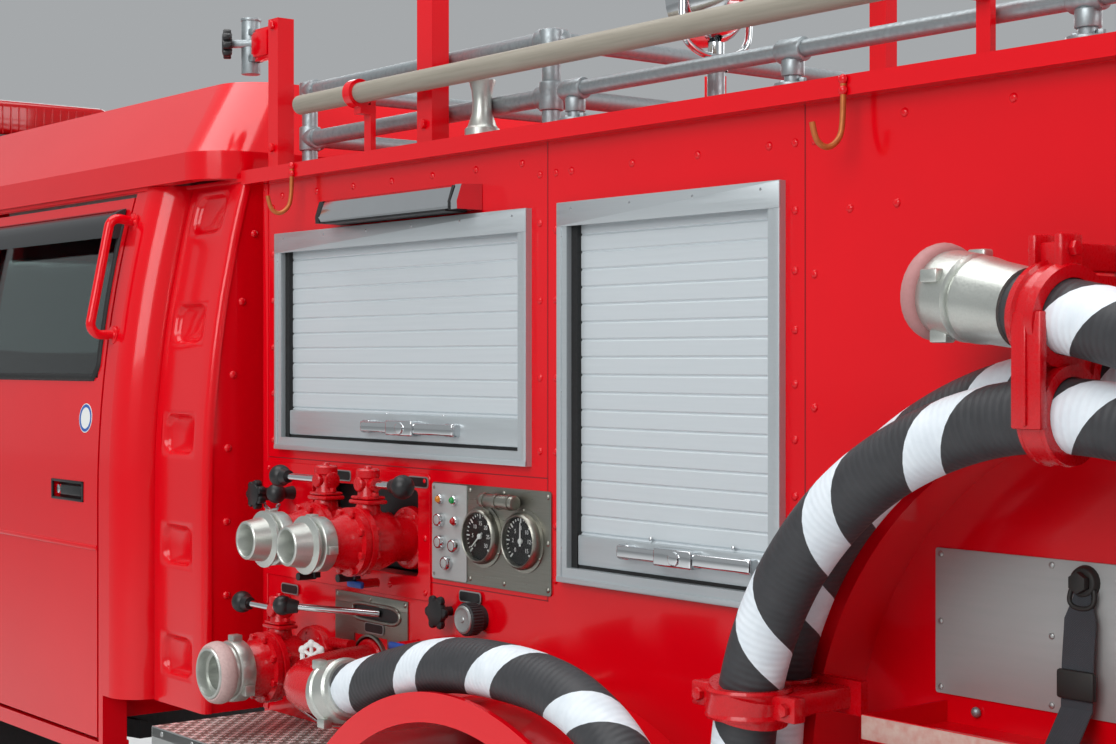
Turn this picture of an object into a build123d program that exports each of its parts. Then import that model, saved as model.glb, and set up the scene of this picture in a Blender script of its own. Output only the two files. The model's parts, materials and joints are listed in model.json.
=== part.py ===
from build123d import *
import os
from math import cos, radians, sin, sqrt, tan

os.makedirs("parts", exist_ok=True)

# Light crew-cab fire pumper, millimetres.
# +X forward, +Y to its left, +Z up, origin on the ground below the middle of the box.

# Wheels and axles
FRONT_AXLE_X = 1775
WHEELBASE = 2795
REAR_AXLE_X = FRONT_AXLE_X - WHEELBASE
TYRE_R = 375
TYRE_WIDTH = 205
RIM_R = 203
RIM_WALL = 12
SEAT_GAP = 0.3
RUN_GAP = 0.05
AXLE_Z = TYRE_R
FRONT_WHEEL_Y = 725
REAR_INNER_Y = 530
REAR_OUTER_Y = 765
KINGPIN_Y = 600
KINGPIN_R = 18
KINGPIN_BOSS_R = 35
SPINDLE_R = 25
REAR_SPINDLE_R = 30

# Chassis frame
RAIL_Y = 350
RAIL_WIDTH = 60
RAIL_HEIGHT = 160
RAIL_TOP = 640
RAIL_WALL = 8
RAIL_FRONT = 2700
RAIL_REAR = -2780
CROSS_HEIGHT = 80
RAIL_BOTTOM = RAIL_TOP - RAIL_HEIGHT
RAIL_IN = RAIL_Y - RAIL_WIDTH / 2
RAIL_OUT = RAIL_Y + RAIL_WIDTH / 2

# Cab
CAB_HALF = 850
CAB_REAR = 115
CAB_FRONT = 2790
CAB_BOTTOM = 560
CAB_TOP = 1870
CAB_WALL = 60
CORNER_HALF = 767
CORNER_X = 350
CORNER_BOTTOM = 706
FRONT_CORNER_R = 150
SILL_Z = 1431
TUMBLE_Z = 1150
TUMBLE = 100
RAKE_Z = 1150
RAKE_BACK = 190
SPLIT_X = 2480
ARCH_R = 470
DOOR_GAP = 9
DOOR_BOTTOM = 605
DOOR_TOP = 1850
REAR_DOOR = (500, 1370)
FRONT_DOOR = (1430, 2450)
WINDOW_TOP = 1812
GLASS_IN = 18
GLASS_THICK = 6
FLOOR_THICK = 40
SEAT_DECK_Z = 870
POCKET_COUNT = 5
POCKET_LOW = 818
POCKET_PITCH = 245
POCKET_X = 240
ROOF_RISE = 240
ROOF_TOP = CAB_TOP + ROOF_RISE
ROOF_CREASE = CAB_TOP + 62
ROOF_WALL = 40

# Upper body
BODY_HALF = 667
BODY_FRONT = 55
BODY_REAR = -2800
BODY_WALL = 40
BODY_FLOOR = 714
FLOOR_DEPTH = 34
BODY_TOP = 1885
PARAPET = 50
LIP_FRONT = 105
LIP_PROUD = 30
LIP_Z = (1855, BODY_TOP)
SKIRT_X = -1560
SKIRT_BOTTOM = 430
DECK_OUT = 283
DECK_HALF = BODY_HALF + DECK_OUT
DECK_THICK = 14
DECK_FRONT = 25

# Rear fender
FENDER_R = 530
FENDER_WALL = 30
FENDER_IN = 430
FENDER_LIP_R = 550
FENDER_LIP = 10
FENDER_REAR_Z = 650
FENDER_FRONT_Z = 520

# Roller shutters: x rear, x front, z low, z high
LEFT_SHUTTER = (-888, -9, 1282, 1742)
RIGHT_SHUTTER = (-1515, -975, 1086, 1745)
REAR_SHUTTER = (-470, 470, 820, 1720)
SLAT_PITCH = 31
JAMB = 26
FRAME_PROUD = 12

# Hose niche and suction hose
NICHE_X = -2130
NICHE_Z = 846
NICHE_R = 560
NICHE_DEPTH = 100
NICHE_SHEET = 10
HOSE_R = 46.5
HOSE_START = (-655, 230, 880)

# Pump fittings
PUMP_X = (-560, -130)
PUMP_HALF = 500
PUMP_Z = (760, 1210)
OUTLET_X = (-486, -334)
OUTLET_Z = 1125
OUTLET_REACH = 267
INLET_X = -156
INLET_Z = 844
INLET_REACH = 250
SUCTION_X = -369
SUCTION_Z = 861
GAUGE_X = (-748, -870)
GAUGE_Z = 1148
GAUGE_R = 51.5


def save(piece, label):
    """Label a finished piece and write its file."""
    piece.part.label = label
    export_step(piece.part, f"parts/{label}.step")


def slab(x, y, z, mode=Mode.ADD):
    """Box between two X, two Y and two Z values."""
    centre = (sum(x) / 2, sum(y) / 2, sum(z) / 2)
    with Locations(centre):
        Box(abs(x[1] - x[0]), abs(y[1] - y[0]), abs(z[1] - z[0]), mode=mode)


def side_plane(y):
    """Plane seen from the right: local x is X, local y is Z, extrusions go to lower Y."""
    return Plane(origin=(0, y, 0), x_dir=(1, 0, 0), z_dir=(0, -1, 0))


def rod(start, end, radius, mode=Mode.ADD):
    """Round bar between two points."""
    way = Vector(*end) - Vector(*start)
    with Locations(Plane(origin=start, z_dir=way).location):
        Cylinder(radius, way.length, align=(Align.CENTER, Align.CENTER, Align.MIN), mode=mode)


def bent_rod(points, bend, radius):
    """Round bar along straight runs joined by one bend radius."""
    with BuildLine() as route:
        FilletPolyline(*points, radius=bend)
    with BuildSketch(Plane(origin=route.line @ 0, z_dir=route.line % 0)) as section:
        Circle(radius)
    sweep(sections=section.sketch, path=route.line)


def mirrored(piece, label):
    """Write the right-hand copy of a left-hand piece."""
    with BuildPart() as right:
        add(piece.part)
        mirror(about=Plane.XZ, mode=Mode.REPLACE)
    save(right, label)


# Chassis frame: two channels with cross members, the fuel tank and the battery box
FUEL_X = (60, 520)
with BuildPart() as chassis_frame:
    with BuildSketch(Plane.YZ.offset(RAIL_REAR)):
        with Locations((RAIL_Y, RAIL_TOP - RAIL_HEIGHT / 2)):
            Rectangle(RAIL_WIDTH, RAIL_HEIGHT)
        with Locations((RAIL_Y - RAIL_WALL, RAIL_TOP - RAIL_HEIGHT / 2)):
            Rectangle(RAIL_WIDTH, RAIL_HEIGHT - 2 * RAIL_WALL, mode=Mode.SUBTRACT)
    extrude(amount=RAIL_FRONT - RAIL_REAR)
    mirror(about=Plane.XZ)
    for cross_x in (2560, 1150, 250, -560, -1600, -2700):
        half_run = RAIL_OUT - RAIL_WALL
        slab((cross_x, cross_x + 60), (-half_run, half_run), (RAIL_TOP - CROSS_HEIGHT, RAIL_TOP))
    with Locations(((FUEL_X[0] + FUEL_X[1]) / 2, -(RAIL_OUT + 700) / 2, 500)):
        fuel_tank = Box(FUEL_X[1] - FUEL_X[0], 700 - RAIL_OUT, 200)
    fillet(fuel_tank.edges().filter_by(Axis.X).sort_by(Axis.Y)[:2], 40)
    slab((60, 440), (RAIL_OUT, 650), (420, 620))
save(chassis_frame, "chassis_frame")

# Engine, gearbox and propeller shaft between the rails
ENGINE_X = (1340, 2200)
with BuildPart() as engine:
    slab(ENGINE_X, (-230, 230), (500, 850))
    slab((900, ENGINE_X[0]), (-140, 140), (440, 550))
    for mount_x in (1500, 2050):
        slab((mount_x, mount_x + 80), (-RAIL_OUT + RAIL_WALL, RAIL_OUT - RAIL_WALL), (520, 600))
    rod((900, 0, 495), (REAR_AXLE_X + 130, 0, 400), 38)
    slab((REAR_AXLE_X, REAR_AXLE_X + 150), (-60, 60), (300, 500), mode=Mode.SUBTRACT)
save(engine, "engine")

# Pump: one plain mass in the body, standing on the load floor
with BuildPart() as pump_block:
    slab(PUMP_X, (-PUMP_HALF, PUMP_HALF), (BODY_FLOOR, PUMP_Z[1]))
    slab((INLET_X - 90, INLET_X + 90), (-PUMP_HALF, PUMP_HALF), (BODY_FLOOR, 940))
save(pump_block, "pump_block")

# Front axle: forged beam with a bored boss for each kingpin
BEAM_Z = (AXLE_Z - 40, AXLE_Z + 30)
BOSS_HALF = 55
with BuildPart() as front_axle:
    slab((FRONT_AXLE_X - 35, FRONT_AXLE_X + 35), (-KINGPIN_Y, KINGPIN_Y), BEAM_Z)
    with Locations((FRONT_AXLE_X, KINGPIN_Y, AXLE_Z), (FRONT_AXLE_X, -KINGPIN_Y, AXLE_Z)):
        Cylinder(KINGPIN_BOSS_R, 2 * BOSS_HALF)
        Cylinder(KINGPIN_R + RUN_GAP, 2 * BOSS_HALF, mode=Mode.SUBTRACT)
save(front_axle, "front_axle")

# Steering knuckles: a yoke over the boss, its kingpin and the spindle
YOKE_IN = KINGPIN_Y + KINGPIN_BOSS_R + 6
EAR_THICK = 20
with BuildPart() as knuckle_left:
    for low in (-BOSS_HALF - EAR_THICK - SEAT_GAP, BOSS_HALF + SEAT_GAP):
        with BuildSketch(Plane.XY.offset(AXLE_Z + low)):
            with Locations((FRONT_AXLE_X, KINGPIN_Y)):
                Circle(KINGPIN_BOSS_R)
            with Locations((FRONT_AXLE_X, (KINGPIN_Y + YOKE_IN) / 2)):
                Rectangle(2 * KINGPIN_BOSS_R, YOKE_IN - KINGPIN_Y)
        extrude(amount=EAR_THICK)
    ear_top = BOSS_HALF + SEAT_GAP + EAR_THICK
    slab(
        (FRONT_AXLE_X - KINGPIN_BOSS_R, FRONT_AXLE_X + KINGPIN_BOSS_R),
        (YOKE_IN, YOKE_IN + 18),
        (AXLE_Z - ear_top, AXLE_Z + ear_top),
    )
    with Locations((FRONT_AXLE_X, KINGPIN_Y, AXLE_Z)):
        Cylinder(KINGPIN_R, 2 * ear_top)
    rod((FRONT_AXLE_X, YOKE_IN + 18, AXLE_Z), (FRONT_AXLE_X, FRONT_WHEEL_Y + 40, AXLE_Z), SPINDLE_R)
save(knuckle_left, "knuckle_left")
mirrored(knuckle_left, "knuckle_right")

# Rear axle: housing, differential and the spindles of the twin wheels
with BuildPart() as rear_axle:
    rod((REAR_AXLE_X, -400, AXLE_Z), (REAR_AXLE_X, 400, AXLE_Z), 55)
    rod((REAR_AXLE_X, -790, AXLE_Z), (REAR_AXLE_X, 790, AXLE_Z), REAR_SPINDLE_R)
    with Locations((REAR_AXLE_X, 0, AXLE_Z)):
        Sphere(145)
    rod((REAR_AXLE_X + 120, 0, 400), (REAR_AXLE_X + 150, 0, 400), 50)
save(rear_axle, "rear_axle")

# Leaf springs: over the front beam, under the rear housing
SPRING_WIDTH = 70
SPRING_TABLE = (
    # axle x, half length, z of the low middle, rise to the ends, seat low, seat high
    (FRONT_AXLE_X, 550, BEAM_Z[1], 25, BEAM_Z[1], BEAM_Z[1] + 25),
    (REAR_AXLE_X, 600, AXLE_Z - 105, 130, AXLE_Z - 80, AXLE_Z - 50),
)
with BuildPart() as leaf_springs:
    for axle_x, half, low, rise, seat_low, seat_high in SPRING_TABLE:
        with BuildSketch(side_plane(RAIL_Y + SPRING_WIDTH / 2)):
            with BuildLine():
                front_end = (axle_x + half, low + rise)
                rear_end = (axle_x - half, low + rise)
                ThreePointArc(rear_end, (axle_x, low), front_end)
                Line(front_end, (axle_x + half, low + rise + 50))
                arc_z = low + rise + 50
                ThreePointArc((axle_x + half, arc_z), (axle_x, low + 50), (axle_x - half, arc_z))
                Line((axle_x - half, low + rise + 50), rear_end)
            make_face()
        extrude(amount=SPRING_WIDTH)
        seat_top = seat_high + 5 if rise < 50 else seat_high
        slab((axle_x - 60, axle_x + 60), (RAIL_Y - 35, RAIL_Y + 35), (seat_low, seat_top))
        for end in (axle_x - half, axle_x + half - 40):
            slab((end, end + 40), (RAIL_Y - 20, RAIL_Y + 20), (low + rise + 20, RAIL_BOTTOM))
    bore = 55 + SEAT_GAP
    rod((REAR_AXLE_X, RAIL_Y - 35, AXLE_Z), (REAR_AXLE_X, RAIL_Y + 35, AXLE_Z), bore, mode=Mode.SUBTRACT)
    mirror(about=Plane.XZ)
save(leaf_springs, "leaf_springs")

# Wheels
WHEEL_TABLE = (
    # name, axle x, wheel centres from the middle, spindle radius
    ("front", FRONT_AXLE_X, (FRONT_WHEEL_Y,), SPINDLE_R),
    ("rear", REAR_AXLE_X, (REAR_INNER_Y, REAR_OUTER_Y), REAR_SPINDLE_R),
)
BEAD_HALF = 82
for wheel, axle_x, centres, spindle in WHEEL_TABLE:
    half = TYRE_WIDTH / 2
    with BuildPart() as tyre:
        for centre in centres:
            with BuildSketch(Plane(origin=(axle_x, centre, AXLE_Z), x_dir=(1, 0, 0), z_dir=(0, 0, 1))):
                with BuildLine():
                    seat = RIM_R + SEAT_GAP
                    Line((seat, -BEAD_HALF), (seat, BEAD_HALF))
                    ThreePointArc((seat, BEAD_HALF), (290, half), (350, half - 12))
                    ThreePointArc((350, half - 12), (368, half - 18), (TYRE_R - 3, half - 36))
                    ThreePointArc((TYRE_R - 3, half - 36), (TYRE_R, 0), (TYRE_R - 3, 36 - half))
                    ThreePointArc((TYRE_R - 3, 36 - half), (368, 18 - half), (350, 12 - half))
                    ThreePointArc((350, 12 - half), (290, -half), (seat, -BEAD_HALF))
                make_face()
            revolve(axis=Axis((axle_x, 0, AXLE_Z), (0, 1, 0)))
    save(tyre, f"tyre_{wheel}_left")
    mirrored(tyre, f"tyre_{wheel}_right")

    with BuildPart() as rim:
        for centre in centres:
            disc = centre + (60 if centre == centres[0] else -60)
            if len(centres) == 1:
                disc = centre + 35
            with BuildSketch(Plane(origin=(axle_x, centre, AXLE_Z), x_dir=(1, 0, 0), z_dir=(0, 0, 1))):
                with BuildLine():
                    Polyline(
                        (RIM_R, -BEAD_HALF),
                        (RIM_R, BEAD_HALF),
                        (RIM_R - RIM_WALL, BEAD_HALF),
                        (RIM_R - RIM_WALL, -BEAD_HALF),
                        close=True,
                    )
                make_face()
            revolve(axis=Axis((axle_x, 0, AXLE_Z), (0, 1, 0)))
            rod((axle_x, disc - 8, AXLE_Z), (axle_x, disc + 8, AXLE_Z), RIM_R - RIM_WALL + 4)
            with BuildSketch(side_plane(disc + 20)):
                with Locations((axle_x, AXLE_Z)):
                    with PolarLocations(140, 8):
                        Circle(20)
            extrude(amount=40, mode=Mode.SUBTRACT)
        hub_in = centres[0] - 40 if len(centres) == 1 else centres[0] + 20
        hub_out = centres[-1] + 60
        rod((axle_x, hub_in, AXLE_Z), (axle_x, hub_out, AXLE_Z), 70)
        bore = spindle + RUN_GAP
        rod((axle_x, hub_in - 10, AXLE_Z), (axle_x, hub_out - 15, AXLE_Z), bore, mode=Mode.SUBTRACT)
    save(rim, f"rim_{wheel}_left")
    mirrored(rim, f"rim_{wheel}_right")


# Cab
def cab_section(x, half, inset):
    """Half-round sided cross-section of the cab at x, its side walls moved in by inset."""
    side = half - inset
    lean_end = side - TUMBLE
    with BuildSketch(Plane.YZ.offset(x)) as section:
        with BuildLine():
            Line((-side, CAB_BOTTOM), (side, CAB_BOTTOM))
            Line((side, CAB_BOTTOM), (side, TUMBLE_Z))
            TangentArc((side, TUMBLE_Z), (lean_end, CAB_TOP), tangent=(0, 1))
            Line((lean_end, CAB_TOP), (-lean_end, CAB_TOP))
            TangentArc((-side, TUMBLE_Z), (-lean_end, CAB_TOP), tangent=(0, 1))
            Line((-side, TUMBLE_Z), (-side, CAB_BOTTOM))
        make_face()
    return section.sketch


def cab_block(inset):
    """The cab's outer form, every wall moved in by inset."""
    step_x = CORNER_X + CAB_HALF - CORNER_HALF
    with BuildPart() as block:
        extrude(cab_section(CAB_REAR + inset, CORNER_HALF, inset), amount=CORNER_X - CAB_REAR - inset)
        loft([cab_section(CORNER_X, CORNER_HALF, inset), cab_section(step_x, CAB_HALF, inset)], ruled=True)
        extrude(cab_section(step_x, CAB_HALF, inset), amount=CAB_FRONT - inset - step_x)
        front_corners = block.edges().group_by(Axis.X)[-1].filter_by(lambda e: abs(e.center().Y) > 600)
        fillet(front_corners.filter_by(lambda e: e.center().Z < CAB_TOP - 5), FRONT_CORNER_R - inset)
        shift = inset / cos(radians(15))
        with BuildSketch(Plane.XZ):
            with BuildLine():
                Polyline(
                    (CAB_FRONT - shift, RAKE_Z),
                    (CAB_FRONT - shift - RAKE_BACK, CAB_TOP),
                    (CAB_FRONT + 100, CAB_TOP),
                    (CAB_FRONT + 100, RAKE_Z),
                    close=True,
                )
            make_face()
        extrude(amount=CAB_HALF + 10, both=True, mode=Mode.SUBTRACT)
    return block.part


cab_outer = cab_block(0)
cab_inner = cab_block(CAB_WALL)
glass_outer = cab_block(GLASS_IN)
glass_inner = cab_block(GLASS_IN + GLASS_THICK)

WINDOW_TABLE = {
    # door: outline of its window in X and Z
    "rear": ((REAR_DOOR[0] + 28, SILL_Z), (REAR_DOOR[1] - 70, SILL_Z),
             (REAR_DOOR[1] - 70, WINDOW_TOP), (REAR_DOOR[0] + 28, WINDOW_TOP)),
    "front": ((FRONT_DOOR[0] + 70, SILL_Z), (FRONT_DOOR[1] - 60, SILL_Z - 60),
              (FRONT_DOOR[1] - 170, WINDOW_TOP), (FRONT_DOOR[0] + 70, WINDOW_TOP)),
}
DOOR_TABLE = {"rear": REAR_DOOR, "front": FRONT_DOOR}


def door_outline(span, gap):
    """Door outline in X and Z, grown by gap and cut by the wheel arch."""
    with BuildLine() as outline:
        slope = 120 if span == FRONT_DOOR else 0
        Polyline(
            (span[0] - gap, DOOR_BOTTOM - gap),
            (span[1] + gap, DOOR_BOTTOM - gap),
            (span[1] + gap, SILL_Z - 60),
            (span[1] + gap - slope, DOOR_TOP + gap),
            (span[0] - gap, DOOR_TOP + gap),
            close=True,
        )
    make_face(outline.line.edges())


with BuildPart() as cab_shell:
    add(cab_outer)
    add(cab_inner, mode=Mode.SUBTRACT)
    for span in DOOR_TABLE.values():
        with BuildSketch(Plane.XZ):
            door_outline(span, DOOR_GAP)
        extrude(amount=CAB_HALF + 50, both=True, mode=Mode.SUBTRACT)
    slab((SPLIT_X, CAB_FRONT + 50), (-900, 900), (CAB_BOTTOM - 10, CAB_TOP + 10), mode=Mode.SUBTRACT)
    slab((0, CORNER_X + 120), (-900, 900), (CAB_BOTTOM - 10, CORNER_BOTTOM), mode=Mode.SUBTRACT)
    with BuildSketch(Plane.XZ):
        with Locations((FRONT_AXLE_X, AXLE_Z)):
            Circle(ARCH_R)
    extrude(amount=900, both=True, mode=Mode.SUBTRACT)
    deck_top = SEAT_DECK_Z + FLOOR_THICK
    foot_top = RAIL_TOP + FLOOR_THICK
    for low_x, high_x, low_z, high_z in (
        (CAB_REAR + 20, 560, CORNER_BOTTOM, CORNER_BOTTOM + FLOOR_THICK),
        (520, 560, RAIL_TOP, CORNER_BOTTOM + FLOOR_THICK),
        (520, 1300, RAIL_TOP, foot_top),
        (1260, 1300, RAIL_TOP, deck_top),
        (1260, 2290, SEAT_DECK_Z, deck_top),
        (2250, 2290, RAIL_TOP, deck_top),
        (2250, SPLIT_X, RAIL_TOP, foot_top),
    ):
        half = CORNER_HALF - 30 if high_x < 570 else CAB_HALF - CAB_WALL
        slab((low_x, high_x), (-half, half), (low_z, high_z))
    for side in (1, -1):
        sill_y = (side * (CAB_HALF - CAB_WALL - 5), side * (CAB_HALF - 6))
        slab((470, SPLIT_X), sill_y, (CAB_BOTTOM, DOOR_BOTTOM - DOOR_GAP))
    with BuildSketch(Plane.XZ):
        with Locations((FRONT_AXLE_X, AXLE_Z)):
            Circle(ARCH_R)
    extrude(amount=900, both=True, mode=Mode.SUBTRACT)
    slab((1262, 1300), (-785, 785), (RAIL_TOP, deck_top))
    slab((2250, 2288), (-785, 785), (RAIL_TOP, deck_top))
    slab((1262, 2288), (-785, 785), (SEAT_DECK_Z, deck_top))
    for pocket in range(POCKET_COUNT):
        pocket_z = POCKET_LOW + pocket * POCKET_PITCH
        lean = TUMBLE * max(0, (pocket_z - TUMBLE_Z) / (CAB_TOP - TUMBLE_Z)) ** 2
        for side in (1, -1):
            with Locations((POCKET_X, side * (CORNER_HALF - lean), pocket_z)):
                Box(70, 28, 88, mode=Mode.SUBTRACT)
save(cab_shell, "cab_shell")

# Cab front: lower panel, screen frame and corner pillars
SCREEN_HALF = 700
SCREEN_Z = (1215, 1815)
with BuildPart() as cab_front:
    add(cab_outer)
    add(cab_inner, mode=Mode.SUBTRACT)
    slab((SPLIT_X, CAB_FRONT + 50), (-900, 900), (CAB_BOTTOM + 60, CAB_TOP + 10), mode=Mode.INTERSECT)
    with BuildSketch(Plane.XZ):
        door_outline(FRONT_DOOR, DOOR_GAP)
    extrude(amount=CAB_HALF + 50, both=True, mode=Mode.SUBTRACT)
    slab((2520, CAB_FRONT + 50), (-SCREEN_HALF, SCREEN_HALF), SCREEN_Z, mode=Mode.SUBTRACT)
    foot_y = CAB_HALF - CAB_WALL + 5
    slab((SPLIT_X, CAB_FRONT - CAB_WALL + 5), (-foot_y, foot_y), (RAIL_TOP, foot_top))
    with Locations((CAB_FRONT, 0, 850)):
        Box(30, 1000, 220, mode=Mode.SUBTRACT)
    for side in (1, -1):
        with Locations((CAB_FRONT, side * 640, 800)):
            Box(60, 220, 150, mode=Mode.SUBTRACT)
save(cab_front, "cab_front")

with BuildPart() as windscreen:
    add(glass_outer)
    add(glass_inner, mode=Mode.SUBTRACT)
    slab((2520, CAB_FRONT + 50), (-SCREEN_HALF, SCREEN_HALF), SCREEN_Z, mode=Mode.INTERSECT)
save(windscreen, "windscreen")

# Grille: bars across the recess of the front panel
with BuildPart() as grille:
    slab((CAB_FRONT - 15, CAB_FRONT - 9), (-500, 500), (740, 960))
    for bar in range(6):
        bar_z = 748 + bar * 38
        slab((CAB_FRONT - 10, CAB_FRONT + 12), (-500, 500), (bar_z, bar_z + 16))
save(grille, "grille")

with BuildPart() as headlamps:
    with Locations((CAB_FRONT - 8, 640, 800)):
        Box(44, 220, 150)
    fillet(headlamps.edges().filter_by(Axis.Y).sort_by(Axis.X)[-2:], 12)
    mirror(about=Plane.XZ)
save(headlamps, "headlamps")

# Front bumper on the ends of the rails
BUMPER_DEEP = 175
BUMPER_HALF = 870
BUMPER_CORNER_R = 120
BUMPER_Z = (350, 610)
BUMPER_FACE = 75
BUMPER_EDGE = 30
BUMPER_END = 70
with BuildPart() as bumper:
    face_x = RAIL_FRONT + BUMPER_DEEP
    inner_z = (BUMPER_Z[0] + BUMPER_EDGE, BUMPER_Z[1] - BUMPER_EDGE)
    slab((RAIL_FRONT, face_x), (-BUMPER_HALF, BUMPER_HALF), BUMPER_Z)
    fillet(bumper.edges().filter_by(Axis.Z).sort_by(Axis.X)[-2:], BUMPER_CORNER_R)
    inner_y = (BUMPER_END - BUMPER_HALF, BUMPER_HALF - BUMPER_END)
    slab((RAIL_FRONT - 1, face_x - BUMPER_FACE), inner_y, inner_z, mode=Mode.SUBTRACT)
    for rail_y in ((RAIL_IN, RAIL_OUT), (-RAIL_OUT, -RAIL_IN)):
        slab((RAIL_FRONT, face_x - BUMPER_FACE + 10), rail_y, (RAIL_BOTTOM, inner_z[1]))
save(bumper, "bumper")

# High roof of the cab, hollow
def roof_block(inset):
    """Roof cap: an upright edge, then a loft to the smaller top."""
    with BuildPart() as cap:
        with BuildSketch(Plane.XY.offset(CAB_TOP)):
            with Locations((1375, 0)):
                RectangleRounded(2500 - 2 * inset, 1530 - 2 * inset, 110 - inset)
        extrude(amount=ROOF_CREASE - CAB_TOP)
        with BuildSketch(Plane.XY.offset(ROOF_CREASE)):
            with Locations((1375, 0)):
                RectangleRounded(2500 - 2 * inset, 1530 - 2 * inset, 110 - inset)
        with BuildSketch(Plane.XY.offset(ROOF_TOP - inset)):
            with Locations((1290, 0)):
                RectangleRounded(2090 - 2 * inset, 1230 - 2 * inset, 110 - inset)
        loft()
    return cap.part


with BuildPart() as cab_roof:
    add(roof_block(0))
    add(roof_block(ROOF_WALL), mode=Mode.SUBTRACT)
save(cab_roof, "cab_roof")

# Doors and their glass
HANDLE_IN = 160
HANDLE_Z = 1165
for place, span in DOOR_TABLE.items():
    with BuildPart() as door:
        add(cab_outer)
        add(cab_inner, mode=Mode.SUBTRACT)
        with BuildSketch(side_plane(CAB_HALF + 50)):
            door_outline(span, 0)
            with BuildLine():
                Polyline(*WINDOW_TABLE[place], close=True)
            make_face(mode=Mode.SUBTRACT)
            with Locations((FRONT_AXLE_X, AXLE_Z)):
                Circle(ARCH_R, mode=Mode.SUBTRACT)
        extrude(amount=200, mode=Mode.INTERSECT)
        handle_x = span[0] + HANDLE_IN
        handle_top = HANDLE_Z + 22
        cup_z = (HANDLE_Z - 22, handle_top)
        slab((handle_x - 85, handle_x + 85), (CAB_HALF - 22, CAB_HALF + 5), cup_z, Mode.SUBTRACT)
        slab((handle_x - 75, handle_x + 75), (CAB_HALF - 23, CAB_HALF - 5), (HANDLE_Z - 11, HANDLE_Z + 11))
    save(door, f"door_{place}_left")
    mirrored(door, f"door_{place}_right")
    with BuildPart() as pane:
        add(glass_outer)
        add(glass_inner, mode=Mode.SUBTRACT)
        with BuildSketch(side_plane(CAB_HALF + 50)):
            with BuildLine():
                Polyline(*WINDOW_TABLE[place], close=True)
            make_face()
        extrude(amount=200, mode=Mode.INTERSECT)
    save(pane, f"glass_{place}_left")
    mirrored(pane, f"glass_{place}_right")

# Grab handles on the pillars behind the rear doors
with BuildPart() as grab_handles:
    bent_rod([(470, CAB_HALF - 32, 1530), (470, CAB_HALF + 35, 1530), (470, CAB_HALF - 20, 1800),
              (470, CAB_HALF - 86, 1790)], 25, 11)
    add(cab_outer, mode=Mode.SUBTRACT)
    mirror(about=Plane.XZ)
save(grab_handles, "grab_handles")

# Mirrors on the cab's front corners
with BuildPart() as mirrors:
    slab((2600, 2650), (960, 1050), (1330, 1640))
    fillet(mirrors.edges(), 12)
    rod((2560, CAB_HALF - 30, 1600), (2625, 1000, 1600), 11)
    rod((2560, CAB_HALF - 10, 1380), (2625, 1000, 1380), 11)
    add(cab_outer, mode=Mode.SUBTRACT)
    mirror(about=Plane.XZ)
save(mirrors, "mirrors")

# Seats, dashboard and steering wheel
with BuildPart() as front_seats:
    for low_y, high_y in ((230, 700), (-220, 220), (-700, -230)):
        slab((1600, 2080), (low_y, high_y), (deck_top, deck_top + 130))
        slab((1480, 1600), (low_y, high_y), (deck_top, deck_top + 620))
    fillet(front_seats.edges().filter_by(Axis.Y), 30)

with BuildPart() as rear_bench:
    slab((620, 1100), (-690, 690), (foot_top, foot_top + 380))
    slab((565, 690), (-690, 690), (foot_top, foot_top + 900))
    long_edges = rear_bench.edges().filter_by(Axis.Y)
    fillet(long_edges.filter_by_position(Axis.Z, foot_top + 300, foot_top + 950), 30)

with BuildPart() as seats:
    add(front_seats.part)
    add(rear_bench.part)
save(seats, "seats")

STEER_Y = -400
DASH_TABLE = (
    # x, z
    (2500, 900),
    (2640, 760),
    (2730, 760),
    (2730, 1140),
    (2570, 1180),
    (2460, 1130),
)
with BuildPart() as dashboard:
    with BuildSketch(side_plane(690)):
        with BuildLine():
            Polyline(*DASH_TABLE, close=True)
        make_face()
    extrude(amount=1380)
    rod((2330, STEER_Y, 1244), (2500, STEER_Y, 1035), 25)
    with Locations(Plane(origin=(2330, STEER_Y, 1244), z_dir=(-0.63, 0, 0.776)).location):
        Cylinder(200, 24)
        Cylinder(174, 24, mode=Mode.SUBTRACT)
        Box(30, 360, 16)
        Cylinder(50, 30)
save(dashboard, "dashboard")

# Light bar on the roof
BAR_X = 2030
BAR_HALF = 560
BAR_DEEP = 260
BAR_BASE = 40
BAR_DOME = 110
with BuildPart() as light_bar:
    bar_x = (BAR_X - BAR_DEEP / 2, BAR_X + BAR_DEEP / 2)
    slab(bar_x, (-BAR_HALF, BAR_HALF), (ROOF_TOP, ROOF_TOP + BAR_BASE))
    with BuildSketch(Plane.XY.offset(ROOF_TOP + BAR_BASE)):
        with Locations((BAR_X, 0)):
            RectangleRounded(BAR_DEEP - 20, 2 * BAR_HALF, 60)
    extrude(amount=BAR_DOME, taper=12)
save(light_bar, "light_bar")


# Upper body
def arch_outline(radius, low):
    """Niche outline: a half circle on straight legs, open at the bottom."""
    with BuildLine() as outline:
        Line((NICHE_X - radius, low), (NICHE_X + radius, low))
        Line((NICHE_X + radius, low), (NICHE_X + radius, NICHE_Z))
        ThreePointArc((NICHE_X + radius, NICHE_Z), (NICHE_X, NICHE_Z + radius), (NICHE_X - radius, NICHE_Z))
        Line((NICHE_X - radius, NICHE_Z), (NICHE_X - radius, low))
    make_face(outline.line.edges())


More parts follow.
